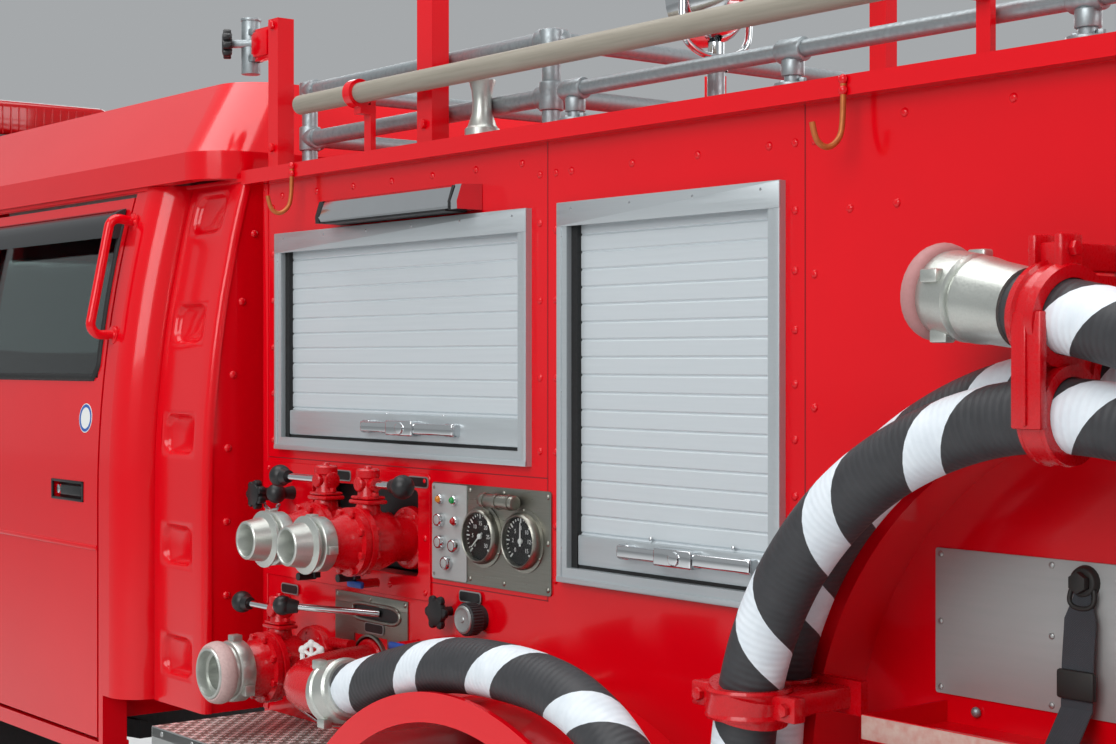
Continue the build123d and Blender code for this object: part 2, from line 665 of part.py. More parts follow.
with BuildPart() as body_shell:
    with BuildSketch(side_plane(BODY_HALF)):
        with BuildLine():
            floor_low = BODY_FLOOR - FLOOR_DEPTH
            Polyline(
                (BODY_FRONT, floor_low),
                (BODY_FRONT, BODY_TOP),
                (BODY_REAR, BODY_TOP),
                (BODY_REAR, SKIRT_BOTTOM),
                (SKIRT_X, SKIRT_BOTTOM),
                (SKIRT_X, floor_low),
                close=True,
            )
        make_face()
    extrude(amount=2 * BODY_HALF)
    inner_x = (BODY_REAR + BODY_WALL, BODY_FRONT - BODY_WALL)
    inner_y = (BODY_WALL - BODY_HALF, BODY_HALF - BODY_WALL)
    slab(inner_x, inner_y, (BODY_FLOOR, BODY_TOP - PARAPET - 30), mode=Mode.SUBTRACT)
    slab(inner_x, inner_y, (BODY_TOP - PARAPET, BODY_TOP + 10), mode=Mode.SUBTRACT)
    slab((inner_x[0], SKIRT_X - BODY_WALL), inner_y, (SKIRT_BOTTOM - 10, floor_low), mode=Mode.SUBTRACT)
    rails_y = (-RAIL_OUT - 20, RAIL_OUT + 20)
    front_wall = (SKIRT_X - BODY_WALL - 1, SKIRT_X + 1)
    rear_wall = (BODY_REAR - 1, BODY_REAR + BODY_WALL + 1)
    slab(front_wall, rails_y, (SKIRT_BOTTOM - 1, RAIL_TOP), mode=Mode.SUBTRACT)
    slab(rear_wall, rails_y, (SKIRT_BOTTOM - 1, RAIL_TOP + 10), mode=Mode.SUBTRACT)
    with BuildSketch(Plane.XZ):
        for low_x, high_x, low_z, high_z in (LEFT_SHUTTER, RIGHT_SHUTTER):
            with Locations(((low_x + high_x) / 2, (low_z + high_z) / 2)):
                Rectangle(high_x - low_x, high_z - low_z)
        with Locations((-343, 1137)):
            Rectangle(387, 167)
        with Locations((SUCTION_X, SUCTION_Z)):
            Circle(58)
        with Locations((INLET_X, INLET_Z)):
            Circle(50)
        arch_outline(NICHE_R + NICHE_SHEET, SKIRT_BOTTOM - 1)
    extrude(amount=BODY_HALF + 10, both=True, mode=Mode.SUBTRACT)
    niche_back = BODY_HALF - NICHE_DEPTH - NICHE_SHEET
    slab((BODY_REAR + BODY_WALL - 1, SKIRT_X + 1), (-niche_back, niche_back), (floor_low, BODY_FLOOR))
    for side in (1, -1):
        rail_span = (side * RAIL_Y - 30, side * RAIL_Y + 30)
        slab((RAIL_REAR, BODY_FRONT), rail_span, (RAIL_TOP, floor_low + 2))
        slab((BODY_REAR, LIP_FRONT), (side * BODY_HALF, side * (BODY_HALF + LIP_PROUD)), LIP_Z)
    with BuildSketch(Plane.YZ):
        with Locations((0, (REAR_SHUTTER[2] + REAR_SHUTTER[3]) / 2)):
            Rectangle(REAR_SHUTTER[1] - REAR_SHUTTER[0], REAR_SHUTTER[3] - REAR_SHUTTER[2])
    extrude(amount=BODY_REAR - 50, mode=Mode.SUBTRACT)
    for side in (1, -1):
        inner_end = (REAR_AXLE_X, side * (FENDER_IN - 5), AXLE_Z)
        outer_end = (REAR_AXLE_X, side * (BODY_HALF + 33), AXLE_Z)
        rod(inner_end, outer_end, FENDER_R + SEAT_GAP, mode=Mode.SUBTRACT)
save(body_shell, "body_shell")


# Hose niches: sheet pans with an open bottom, and the angle trays in them
TRAY_X = (-2500, -1740)
TRAY_Z = 940
with BuildPart() as hose_niches:
    with BuildSketch(side_plane(BODY_HALF)):
        arch_outline(NICHE_R + NICHE_SHEET, SKIRT_BOTTOM)
    extrude(amount=NICHE_DEPTH + NICHE_SHEET)
    with BuildSketch(side_plane(BODY_HALF)):
        arch_outline(NICHE_R, SKIRT_BOTTOM - 1)
    extrude(amount=NICHE_DEPTH, mode=Mode.SUBTRACT)
    pan_back = BODY_HALF - NICHE_DEPTH
    slab(TRAY_X, (pan_back - 1, pan_back + 179), (TRAY_Z, TRAY_Z + 5))
    slab(TRAY_X, (pan_back + 174, pan_back + 179), (TRAY_Z, TRAY_Z + 35))
    for end_x in (TRAY_X[0], TRAY_X[1] - 5):
        slab((end_x, end_x + 5), (pan_back - 1, pan_back + 179), (TRAY_Z, TRAY_Z + 35))
    mirror(about=Plane.XZ)
save(hose_niches, "hose_niches")

# Bare metal plates: gauge panel, suction surround and the rub plate in the niche
PLATE = 3
with BuildPart() as panel_plates:
    slab((-947, -584), (BODY_HALF, BODY_HALF + PLATE), (1056, 1240))
    slab((-500, -238), (BODY_HALF, BODY_HALF + PLATE), (760, 1002))
    seat_end = (SUCTION_X, BODY_HALF + 10, SUCTION_Z)
    rod((SUCTION_X, BODY_HALF - 1, SUCTION_Z), seat_end, 58, mode=Mode.SUBTRACT)
    slab((-470, -310), (BODY_HALF - 1, BODY_HALF + 10), (955, 980), mode=Mode.SUBTRACT)
    slab((-2535, -1725), (pan_back, pan_back + PLATE), (985, 1197))
    mirror(about=Plane.XZ)
save(panel_plates, "panel_plates")

# Straps that hang from the niche's plate
with BuildPart() as hose_straps:
    slab((-2011, -1961), (pan_back + PLATE, pan_back + PLATE + 6), (980, 1170))
    mirror(about=Plane.XZ)
save(hose_straps, "hose_straps")

# Side decks with their skirts and brackets
with BuildPart() as side_decks:
    deck_rear = REAR_AXLE_X + 380
    slab((deck_rear, DECK_FRONT), (BODY_HALF, DECK_HALF), (BODY_FLOOR - DECK_THICK, BODY_FLOOR))
    slab((deck_rear, DECK_FRONT), (DECK_HALF - 14, DECK_HALF), (600, BODY_FLOOR))
    slab((DECK_FRONT - 14, DECK_FRONT), (BODY_HALF, DECK_HALF), (600, BODY_FLOOR))
    for bracket_x in (-130, -480):
        slab((bracket_x, bracket_x + 60), (RAIL_OUT, DECK_HALF - 10), (RAIL_TOP, floor_low))
        slab((bracket_x, bracket_x + 60), (BODY_HALF, DECK_HALF - 10), (floor_low - 1, BODY_FLOOR - 5))
    fender_in = (REAR_AXLE_X, BODY_HALF - 67, AXLE_Z)
    rod(fender_in, (REAR_AXLE_X, DECK_HALF + 50, AXLE_Z), FENDER_LIP_R + SEAT_GAP, mode=Mode.SUBTRACT)
    mirror(about=Plane.XZ)
save(side_decks, "side_decks")

# Rear fenders with their outer lips
with BuildPart() as rear_fenders:
    for radius, outer_y, depth in (
        (FENDER_R, DECK_HALF - FENDER_LIP, DECK_HALF - FENDER_LIP - FENDER_IN),
        (FENDER_LIP_R, DECK_HALF, FENDER_LIP),
    ):
        with BuildSketch(side_plane(outer_y)):
            with Locations((REAR_AXLE_X, AXLE_Z)):
                Circle(radius)
                Circle(FENDER_R - FENDER_WALL, mode=Mode.SUBTRACT)
            with Locations((REAR_AXLE_X + 300, FENDER_FRONT_Z - 600)):
                Rectangle(600, 1200, mode=Mode.SUBTRACT)
            with Locations((REAR_AXLE_X - 300, FENDER_REAR_Z - 600)):
                Rectangle(600, 1200, mode=Mode.SUBTRACT)
        extrude(amount=depth)
    mirror(about=Plane.XZ)
save(rear_fenders, "rear_fenders")

# Mud flaps behind all four wheels
FLAP_THICK = 6
with BuildPart() as mud_flaps:
    flap_x = REAR_AXLE_X - sqrt(FENDER_R ** 2 - (FENDER_REAR_Z - AXLE_Z) ** 2)
    slab((flap_x, flap_x + FLAP_THICK), (FENDER_IN, 868), (250, FENDER_REAR_Z))
    slab((1280, 1280 + FLAP_THICK), (570, 780), (300, RAIL_TOP))
    mirror(about=Plane.XZ)
save(mud_flaps, "mud_flaps")


# Roller shutters
def slat_outline(face, back, low, high):
    """Section of a slatted curtain between its face and its back."""
    step = 1 if face > back else -1
    count = round((high - low) / SLAT_PITCH)
    pitch = (high - low) / count
    points = [(back, low)]
    for slat in range(count):
        z = low + slat * pitch
        points += [(face - 2.5 * step, z), (face, z + 3), (face, z + pitch - 3)]
    points += [(face - 2.5 * step, high), (back, high)]
    with BuildLine() as outline:
        Polyline(*points, close=True)
    make_face(outline.line.edges())


CURTAIN_FACE = BODY_HALF - 8
CURTAIN_BACK = BODY_HALF - 18
with BuildPart() as shutter_frames:
    for low_x, high_x, low_z, high_z in (LEFT_SHUTTER, RIGHT_SHUTTER):
        with BuildSketch(side_plane(BODY_HALF + FRAME_PROUD)):
            with Locations(((low_x + high_x) / 2, (low_z + high_z) / 2)):
                Rectangle(high_x - low_x, high_z - low_z)
                Rectangle(high_x - low_x - 2 * JAMB, high_z - low_z - 2 * JAMB, mode=Mode.SUBTRACT)
        extrude(amount=FRAME_PROUD + BODY_WALL)
    mirror(about=Plane.XZ)
    low_y, high_y, low_z, high_z = REAR_SHUTTER
    with BuildSketch(Plane.YZ.offset(BODY_REAR - FRAME_PROUD)):
        with Locations(((low_y + high_y) / 2, (low_z + high_z) / 2)):
            Rectangle(high_y - low_y, high_z - low_z)
            Rectangle(high_y - low_y - 2 * JAMB, high_z - low_z - 2 * JAMB, mode=Mode.SUBTRACT)
    extrude(amount=FRAME_PROUD + BODY_WALL)
save(shutter_frames, "shutter_frames")

with BuildPart() as shutter_curtains:
    for low_x, high_x, low_z, high_z in (LEFT_SHUTTER, RIGHT_SHUTTER):
        with BuildSketch(Plane.YZ.offset(low_x + JAMB)):
            slat_outline(CURTAIN_FACE, CURTAIN_BACK, low_z + JAMB, high_z - JAMB)
        extrude(amount=high_x - low_x - 2 * JAMB)
    mirror(about=Plane.XZ)
    low_y, high_y, low_z, high_z = REAR_SHUTTER
    with BuildSketch(side_plane(high_y - JAMB)):
        slat_outline(BODY_REAR + 8, BODY_REAR + 18, low_z + JAMB, high_z - JAMB)
    extrude(amount=high_y - low_y - 2 * JAMB)
save(shutter_curtains, "shutter_curtains")

HANDLE_TABLE = (
    # front end x, rear end x, z
    (-358, -673, 1340),
    (-1143, -1458, 1152),
)
with BuildPart() as shutter_handles:
    for front_x, rear_x, z in HANDLE_TABLE:
        slab((rear_x, front_x), (CURTAIN_FACE + 22, CURTAIN_FACE + 34), (z - 10, z + 10))
        for foot_x in (rear_x, (front_x + rear_x) / 2 - 20, front_x - 40):
            slab((foot_x, foot_x + 40), (CURTAIN_FACE, CURTAIN_FACE + 23), (z - 12, z + 12))
    mirror(about=Plane.XZ)
    slab((BODY_REAR - 26, BODY_REAR - 14), (-150, 150), (860, 880))
    for foot_y in (-150, 110):
        slab((BODY_REAR - 15, BODY_REAR + 8), (foot_y, foot_y + 40), (858, 882))
save(shutter_handles, "shutter_handles")

with BuildPart() as flood_lights:
    slab((-741, -241), (BODY_HALF, BODY_HALF + 60), (1748, 1795))
    fillet(flood_lights.edges().filter_by(Axis.X).sort_by(Axis.Y)[-2:], 8)
    mirror(about=Plane.XZ)
save(flood_lights, "flood_lights")

# Pump fittings: red valves and suction elbows
BALL_Y = BODY_HALF + 85
COLLAR_Y = BODY_HALF + 183
ELBOW_END = (-590.5, BODY_HALF + HOSE_START[1], 862)
with BuildPart() as pump_valves:
    for x in OUTLET_X:
        rod((x, PUMP_HALF, OUTLET_Z), (x, COLLAR_Y, OUTLET_Z), 38)
        rod((x, BODY_HALF, OUTLET_Z), (x, BODY_HALF + 16, OUTLET_Z), 68)
        rod((x, COLLAR_Y - 24, OUTLET_Z), (x, COLLAR_Y, OUTLET_Z), 50)
        with Locations((x, BALL_Y, OUTLET_Z)):
            Sphere(60)
        rod((x, BALL_Y, OUTLET_Z), (x, BALL_Y, OUTLET_Z + 88), 20)
        rod((x, COLLAR_Y - 60, OUTLET_Z), (x, COLLAR_Y + 1, OUTLET_Z), 26, mode=Mode.SUBTRACT)
    inlet_collar = BODY_HALF + 185
    rod((INLET_X, PUMP_HALF, INLET_Z), (INLET_X, inlet_collar, INLET_Z), 45)
    rod((INLET_X, BODY_HALF + 2, INLET_Z), (INLET_X, BODY_HALF + 18, INLET_Z), 75)
    with Locations((INLET_X, BALL_Y + 10, INLET_Z)):
        Sphere(66)
    rod((INLET_X, BALL_Y, INLET_Z), (INLET_X, BALL_Y, INLET_Z + 92), 20)
    rod((INLET_X, inlet_collar - 60, INLET_Z), (INLET_X, inlet_collar + 1, INLET_Z), 30, mode=Mode.SUBTRACT)
    bent_rod([(SUCTION_X, PUMP_HALF, SUCTION_Z), (SUCTION_X, ELBOW_END[1], SUCTION_Z), ELBOW_END], 95, 47)
    mirror(about=Plane.XZ)
save(pump_valves, "pump_valves")

# Bright couplings: outlets, inlets and both ends of each suction hose
HOSE_TURN = (-870, HOSE_START[1], 940)
HOSE_END = (-2070, 150, 1536)
HOSE_LAST = (-2700, 240, 1433)
COUPLING_LONG = 167
end_way = (Vector(*HOSE_END) - Vector(*HOSE_LAST)).normalized()
end_point = Vector(HOSE_END[0], BODY_HALF + HOSE_END[1], HOSE_END[2])
start_point = Vector(HOSE_START[0], BODY_HALF + HOSE_START[1], HOSE_START[2])
with BuildPart() as couplings:
    for x in OUTLET_X:
        rod((x, COLLAR_Y, OUTLET_Z), (x, COLLAR_Y + 34, OUTLET_Z), 47)
        rod((x, COLLAR_Y + 30, OUTLET_Z), (x, BODY_HALF + OUTLET_REACH, OUTLET_Z), 35)
        rod((x, COLLAR_Y - 1, OUTLET_Z), (x, BODY_HALF + OUTLET_REACH + 1, OUTLET_Z), 26, mode=Mode.SUBTRACT)
    rod((INLET_X, inlet_collar, INLET_Z), (INLET_X, BODY_HALF + INLET_REACH, INLET_Z), 55)
    bore_end = (INLET_X, BODY_HALF + INLET_REACH + 1, INLET_Z)
    rod((INLET_X, inlet_collar - 1, INLET_Z), bore_end, 36, mode=Mode.SUBTRACT)
    rod(ELBOW_END, start_point, 55)
    rod(end_point, end_point + end_way * COUPLING_LONG, 52)
    rod(end_point + end_way * 60, end_point + end_way * (COUPLING_LONG + 1), 38, mode=Mode.SUBTRACT)
    add(pump_valves.part, mode=Mode.SUBTRACT)
    mirror(about=Plane.XZ)
save(couplings, "couplings")

# Suction hoses: from the elbow over the fender, then two and a half turns of a racetrack coil
# x, distance out from the body side, z, bend radius at the point
INNER, OUTER = 50, 150
HOSE_ROUTE = (
    (*HOSE_START, 0),
    (*HOSE_TURN, 350),
    (-1120, HOSE_START[1], 972, 500),
    (-1340, HOSE_START[1], 950, 300),
    (-1535, 246, 780, 230),
    (-1570, 246, 595, 180),
    (-2730, INNER, 595, 240),
    (-2730, INNER, 1446, 599),
    (-1530, INNER, 1446, 599),
    (-1530, INNER, 490, 350),
    (-2688, OUTER, 490, 350),
    (-2688, OUTER, 1404, 557),
    (-1572, OUTER, 1404, 557),
    (-1572, OUTER, 490, 350),
    (-2700, 245, 490, 350),
    (*HOSE_LAST, 400),
    (*HOSE_END, 0),
)
with BuildPart() as suction_hoses:
    with BuildLine() as hose_line:
        FilletPolyline(
            *[(x, BODY_HALF + out, z) for x, out, z, bend in HOSE_ROUTE],
            radius=[bend for x, out, z, bend in HOSE_ROUTE[1:-1]],
        )
    with BuildSketch(Plane(origin=hose_line.line @ 0, z_dir=hose_line.line % 0)):
        Circle(HOSE_R)
    sweep(path=hose_line.line)
    mirror(about=Plane.XZ)
save(suction_hoses, "suction_hoses")
hose_length = hose_line.wires()[0].length
print("hose length", round(hose_length))

# Clamps that hold the hose's turns on the body side
CLAMP_WALL = 14
CLAMP_BORE = HOSE_R + 0.8
CLAMP_HALF = 20
LOW_CLAMP_Z = 980


def strand(corner_x, top_z, radius, out):
    """Point and direction of a strand's front arc at the low clamp's height."""
    centre = (corner_x - radius, top_z - radius)
    rise = (LOW_CLAMP_Z - centre[1]) / radius
    run = sqrt(1 - rise ** 2)
    point = Vector(centre[0] + radius * run, BODY_HALF + out, LOW_CLAMP_Z)
    return point, Vector(-rise, 0, run)


last_way = Vector(end_way.X, end_way.Y, end_way.Z)
UPPER_X = -2125
upper_share = (HOSE_END[0] - UPPER_X) / (HOSE_END[0] - HOSE_LAST[0])
last_point = Vector(
    UPPER_X,
    BODY_HALF + HOSE_END[1] + upper_share * (HOSE_LAST[1] - HOSE_END[1]),
    HOSE_END[2] + upper_share * (HOSE_LAST[2] - HOSE_END[2]),
)
GRIPS = (
    strand(-1530, 1446, 599, INNER),
    strand(-1572, 1404, 557, OUTER),
    (Vector(UPPER_X, BODY_HALF + INNER, 1446), Vector(1, 0, 0)),
    (Vector(UPPER_X, BODY_HALF + OUTER, 1404), Vector(1, 0, 0)),
    (last_point, last_way),
)
with BuildPart() as hose_clamps:
    for point, way in GRIPS:
        rod(point - way * CLAMP_HALF, point + way * CLAMP_HALF, CLAMP_BORE + CLAMP_WALL)
    slab((-1680, -1475), (BODY_HALF, BODY_HALF + 14), (955, 1005))
    slab((-1640, -1500), (BODY_HALF, BODY_HALF + OUTER), (965, 995))
    slab((UPPER_X - 18, UPPER_X + 18), (BODY_HALF, BODY_HALF + 14), (1416, 1611))
    slab((UPPER_X - 14, UPPER_X + 14), (BODY_HALF, BODY_HALF + OUTER), (1410, 1575))
    for point, way in GRIPS:
        rod(point - way * 90, point + way * 90, CLAMP_BORE, mode=Mode.SUBTRACT)
    slab((-2400, -1400), (BODY_HALF - 100, BODY_HALF), (900, 1700), mode=Mode.SUBTRACT)
    mirror(about=Plane.XZ)
save(hose_clamps, "hose_clamps")

# Gauges, switch strip, lamp, handwheel and cap on the pump panel
with BuildPart() as panel_controls:
    face = BODY_HALF + PLATE
    for x in GAUGE_X:
        rod((x, face, GAUGE_Z), (x, face + 18, GAUGE_Z), GAUGE_R)
        rod((x, face + 14, GAUGE_Z), (x, face + 19, GAUGE_Z), GAUGE_R - 7, mode=Mode.SUBTRACT)
    slab((-695, -588), (face, face + 3), (1060, 1236))
    for row in range(6):
        for x in (-615, -668):
            rod((x, face + 2, 1084 + 26 * row), (x, face + 12, 1084 + 26 * row), 7)
    rod((-865, face + 18, 1216), (-765, face + 18, 1216), 13)
    slab((-840, -790), (face, face + 10), (1206, 1226))
    rod((-640, BODY_HALF, 999), (-640, BODY_HALF + 42, 999), 11)
    rod((-640, BODY_HALF + 22, 999), (-640, BODY_HALF + 40, 999), 34)
    rod((-732, BODY_HALF, 994), (-732, BODY_HALF + 40, 994), 37)
    rod((-20, BODY_HALF, 1192), (-20, BODY_HALF + 50, 1192), 14)
    rod((-20, BODY_HALF + 30, 1192), (-20, BODY_HALF + 52, 1192), 30)
    mirror(about=Plane.XZ)
save(panel_controls, "panel_controls")

LEVER_TABLE = (
    # stem x, foot z, rod z, knob x
    (OUTLET_X[0], OUTLET_Z + 88, 1247, -602),
    (OUTLET_X[1], OUTLET_Z + 88, 1247, -155),
    (INLET_X, INLET_Z + 92, 962, 1),
)
with BuildPart() as valve_levers:
    for stem_x, foot_z, rod_z, knob_x in LEVER_TABLE:
        rod((stem_x, BALL_Y, foot_z), (stem_x, BALL_Y, rod_z + 12), 13)
        rod((stem_x, BALL_Y, rod_z), (knob_x, BALL_Y, rod_z), 7)
        with Locations(Plane(origin=(knob_x, BALL_Y, rod_z), z_dir=(0, 1, 0)).location):
            Sphere(17)
    rod((-400, BODY_HALF + PLATE, 992), (-283, BODY_HALF + 150, 985), 7)
    with Locations((-283, BODY_HALF + 150, 985)):
        Sphere(17)
    slab((-450, -350), (BODY_HALF - 30, BODY_HALF + PLATE), (960, 1020), mode=Mode.SUBTRACT)
    mirror(about=Plane.XZ)
save(valve_levers, "valve_levers")

# Roof: galvanised rails, red posts, pole and lamps
DECK_Z = BODY_TOP - PARAPET
CAGE_X = (-860, -23)
CAGE_Y = BODY_HALF - 67
RAIL_LINE = BODY_HALF - 20
RAIL_Z = 1945
PIPE_R = 17
with BuildPart() as roof_rails:
    for x in CAGE_X:
        for side in (1, -1):
            rod((x, side * CAGE_Y, DECK_Z), (x, side * CAGE_Y, 2053), PIPE_R)
        for z in (1950, 2053):
            rod((x, -CAGE_Y, z), (x, CAGE_Y, z), PIPE_R)
    for side in (1, -1):
        for z in (1950, 2053):
            rod((CAGE_X[0], side * CAGE_Y, z), (CAGE_X[1], side * CAGE_Y, z), PIPE_R)
        rod((-2740, side * RAIL_LINE, RAIL_Z), (-960, side * RAIL_LINE, RAIL_Z), 13.5)
        for x in (-986, -1511, -2044, -2577):
            rod((x, side * RAIL_LINE, BODY_TOP), (x, side * RAIL_LINE, RAIL_Z), 13.5)
            rod((x, side * RAIL_LINE, BODY_TOP), (x, side * RAIL_LINE, BODY_TOP + 8), 19)
save(roof_rails, "roof_rails")

POST_X = -553
POST_TOP = 2450
POLE_R = 20
POLE_Y = BODY_HALF + 38
POLE_Z = 2000
with BuildPart() as roof_posts:
    slab((-1, 39), (627, 667), (BODY_TOP, 2209))
    slab((39, 130), (640, 654), (2130, 2200))
    slab((-1, 39), (-667, -627), (BODY_TOP, 2209))
    for side in (1, -1):
        slab((POST_X - 25, POST_X + 25), (side * 627, side * 667), (BODY_TOP, POST_TOP))
    slab((POST_X - 25, POST_X + 25), (-667, 667), (POST_TOP - 50, POST_TOP))
    for x in (-375, -1900):
        slab((x - 12, x + 12), (669, 681), (BODY_TOP, POLE_Z))
        slab((x - 12, x + 12), (669, POLE_Y), (POLE_Z - 40, POLE_Z - POLE_R - 2))
        rod((x - 12, POLE_Y, POLE_Z), (x + 12, POLE_Y, POLE_Z), POLE_R + 8)
        rod((x - 13, POLE_Y, POLE_Z), (x + 13, POLE_Y, POLE_Z), POLE_R + SEAT_GAP, mode=Mode.SUBTRACT)
save(roof_posts, "roof_posts")

with BuildPart() as roof_pole:
    rod((-2400, POLE_Y, POLE_Z), (-159, POLE_Y, POLE_Z), POLE_R)
save(roof_pole, "roof_pole")

with BuildPart() as roof_lamps:
    rod((-1250, 560, DECK_Z), (-1250, 560, 2010), 16)
    with Locations((-1250, 560, 2070)):
        Sphere(75)
    with Locations(Plane(origin=(-708, 545, BODY_TOP - PARAPET), z_dir=(0, 0, 1)).location):
        Cone(30, 20, 150, align=(Align.CENTER, Align.CENTER, Align.MIN))
save(roof_lamps, "roof_lamps")

# Rear step and tail lamps
with BuildPart() as rear_step:
    slab((-2875, BODY_REAR), (-900, 900), (480, 520))
    slab((-2875, -2860), (-900, 900), (400, 520))
save(rear_step, "rear_step")

with BuildPart() as tail_lamps:
    with Locations((BODY_REAR - 12, 590, 640)):
        Box(24, 120, 100)
    with Locations((BODY_REAR - 12, 590, 1780)):
        Box(24, 110, 60)
    mirror(about=Plane.XZ)
save(tail_lamps, "tail_lamps")
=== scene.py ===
"""Looks of a light crew-cab fire pumper, laid out as an add-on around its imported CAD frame."""

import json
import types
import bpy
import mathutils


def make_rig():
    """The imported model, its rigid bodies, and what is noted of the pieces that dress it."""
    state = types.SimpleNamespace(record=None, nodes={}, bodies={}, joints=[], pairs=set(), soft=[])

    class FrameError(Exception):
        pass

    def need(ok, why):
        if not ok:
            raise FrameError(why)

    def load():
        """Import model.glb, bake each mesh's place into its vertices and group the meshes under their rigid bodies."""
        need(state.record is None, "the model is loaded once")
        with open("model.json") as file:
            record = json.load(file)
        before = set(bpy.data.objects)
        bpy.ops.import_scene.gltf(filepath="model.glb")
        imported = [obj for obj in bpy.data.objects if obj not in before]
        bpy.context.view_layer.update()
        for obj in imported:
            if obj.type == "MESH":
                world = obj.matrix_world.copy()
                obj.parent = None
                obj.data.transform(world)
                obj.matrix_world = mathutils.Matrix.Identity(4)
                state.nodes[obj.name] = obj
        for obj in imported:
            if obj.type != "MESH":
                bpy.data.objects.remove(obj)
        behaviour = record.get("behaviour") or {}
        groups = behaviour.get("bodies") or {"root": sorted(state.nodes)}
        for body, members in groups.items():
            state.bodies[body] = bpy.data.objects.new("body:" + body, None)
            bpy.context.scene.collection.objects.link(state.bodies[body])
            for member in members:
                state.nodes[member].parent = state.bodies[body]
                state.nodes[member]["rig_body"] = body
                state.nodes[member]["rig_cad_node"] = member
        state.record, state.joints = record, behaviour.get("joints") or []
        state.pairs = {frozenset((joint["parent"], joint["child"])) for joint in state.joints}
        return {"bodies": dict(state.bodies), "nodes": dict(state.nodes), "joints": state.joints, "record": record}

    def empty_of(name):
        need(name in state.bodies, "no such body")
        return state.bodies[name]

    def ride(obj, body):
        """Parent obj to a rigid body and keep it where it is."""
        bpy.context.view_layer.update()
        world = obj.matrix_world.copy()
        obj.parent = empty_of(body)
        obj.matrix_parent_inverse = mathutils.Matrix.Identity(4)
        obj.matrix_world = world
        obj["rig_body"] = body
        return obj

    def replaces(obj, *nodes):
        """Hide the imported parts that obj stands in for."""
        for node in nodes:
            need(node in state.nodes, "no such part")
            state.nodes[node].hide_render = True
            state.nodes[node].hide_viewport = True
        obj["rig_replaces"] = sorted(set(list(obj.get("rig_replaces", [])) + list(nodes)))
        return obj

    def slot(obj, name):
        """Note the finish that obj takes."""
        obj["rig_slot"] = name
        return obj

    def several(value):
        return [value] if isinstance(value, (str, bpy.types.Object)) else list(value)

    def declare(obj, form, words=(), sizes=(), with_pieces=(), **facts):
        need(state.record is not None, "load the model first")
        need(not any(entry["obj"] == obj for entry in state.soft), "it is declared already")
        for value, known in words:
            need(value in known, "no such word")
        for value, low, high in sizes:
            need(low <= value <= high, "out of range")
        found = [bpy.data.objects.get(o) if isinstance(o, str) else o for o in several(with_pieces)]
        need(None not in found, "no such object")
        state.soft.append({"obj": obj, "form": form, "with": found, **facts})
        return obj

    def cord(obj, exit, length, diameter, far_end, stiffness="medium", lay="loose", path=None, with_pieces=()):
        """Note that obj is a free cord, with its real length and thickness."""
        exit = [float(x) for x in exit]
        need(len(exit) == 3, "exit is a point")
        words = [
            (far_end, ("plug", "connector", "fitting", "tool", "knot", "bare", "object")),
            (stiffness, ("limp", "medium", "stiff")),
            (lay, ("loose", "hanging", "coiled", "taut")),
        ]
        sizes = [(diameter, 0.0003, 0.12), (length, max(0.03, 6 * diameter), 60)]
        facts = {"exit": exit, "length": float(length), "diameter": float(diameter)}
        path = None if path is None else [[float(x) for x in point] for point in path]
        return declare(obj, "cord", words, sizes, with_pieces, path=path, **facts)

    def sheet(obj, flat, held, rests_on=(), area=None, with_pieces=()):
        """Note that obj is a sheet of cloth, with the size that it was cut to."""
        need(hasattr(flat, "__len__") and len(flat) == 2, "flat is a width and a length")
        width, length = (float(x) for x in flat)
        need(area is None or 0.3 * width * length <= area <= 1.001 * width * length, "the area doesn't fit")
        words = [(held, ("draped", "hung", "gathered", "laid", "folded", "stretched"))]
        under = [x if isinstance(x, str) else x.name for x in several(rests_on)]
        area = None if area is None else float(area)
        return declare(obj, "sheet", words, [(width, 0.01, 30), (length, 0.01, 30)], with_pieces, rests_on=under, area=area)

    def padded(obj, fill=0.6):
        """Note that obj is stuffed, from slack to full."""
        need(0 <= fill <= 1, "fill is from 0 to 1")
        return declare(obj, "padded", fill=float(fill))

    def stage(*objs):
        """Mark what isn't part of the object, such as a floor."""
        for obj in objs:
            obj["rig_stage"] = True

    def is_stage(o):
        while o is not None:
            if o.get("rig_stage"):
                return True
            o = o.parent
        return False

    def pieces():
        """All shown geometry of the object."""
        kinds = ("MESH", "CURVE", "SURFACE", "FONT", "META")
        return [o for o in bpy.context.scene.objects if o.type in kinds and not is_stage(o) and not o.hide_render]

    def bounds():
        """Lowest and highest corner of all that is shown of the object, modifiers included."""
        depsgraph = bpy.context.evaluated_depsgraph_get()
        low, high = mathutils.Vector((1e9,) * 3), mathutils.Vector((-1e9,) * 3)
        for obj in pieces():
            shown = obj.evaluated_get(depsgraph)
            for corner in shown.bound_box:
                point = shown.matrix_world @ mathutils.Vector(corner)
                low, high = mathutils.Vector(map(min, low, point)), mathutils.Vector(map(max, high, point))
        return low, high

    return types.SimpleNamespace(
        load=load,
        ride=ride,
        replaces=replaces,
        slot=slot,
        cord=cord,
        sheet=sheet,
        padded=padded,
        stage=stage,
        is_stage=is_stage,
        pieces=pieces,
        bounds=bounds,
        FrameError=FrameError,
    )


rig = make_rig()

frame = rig.load()

import json
import math

import bmesh
import bpy
from mathutils import Matrix, Vector

bl_info = {
    "name": "Crew-cab fire pumper",
    "version": (1, 0, 0),
    "blender": (4, 5, 0),
    "location": "View3D > Sidebar > Pumper",
    "description": "Builds the pumper's trim, fittings, hoses and finishes over its CAD frame",
    "category": "Add Mesh",
}

MM = 0.001
# Directions: out of the left side, up, and toward the front
OUT, UP, FORE = (0, 1, 0), (0, 0, 1), (1, 0, 0)
NODES = frame["nodes"]
CAD_BOX = [list(corner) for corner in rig.bounds()]

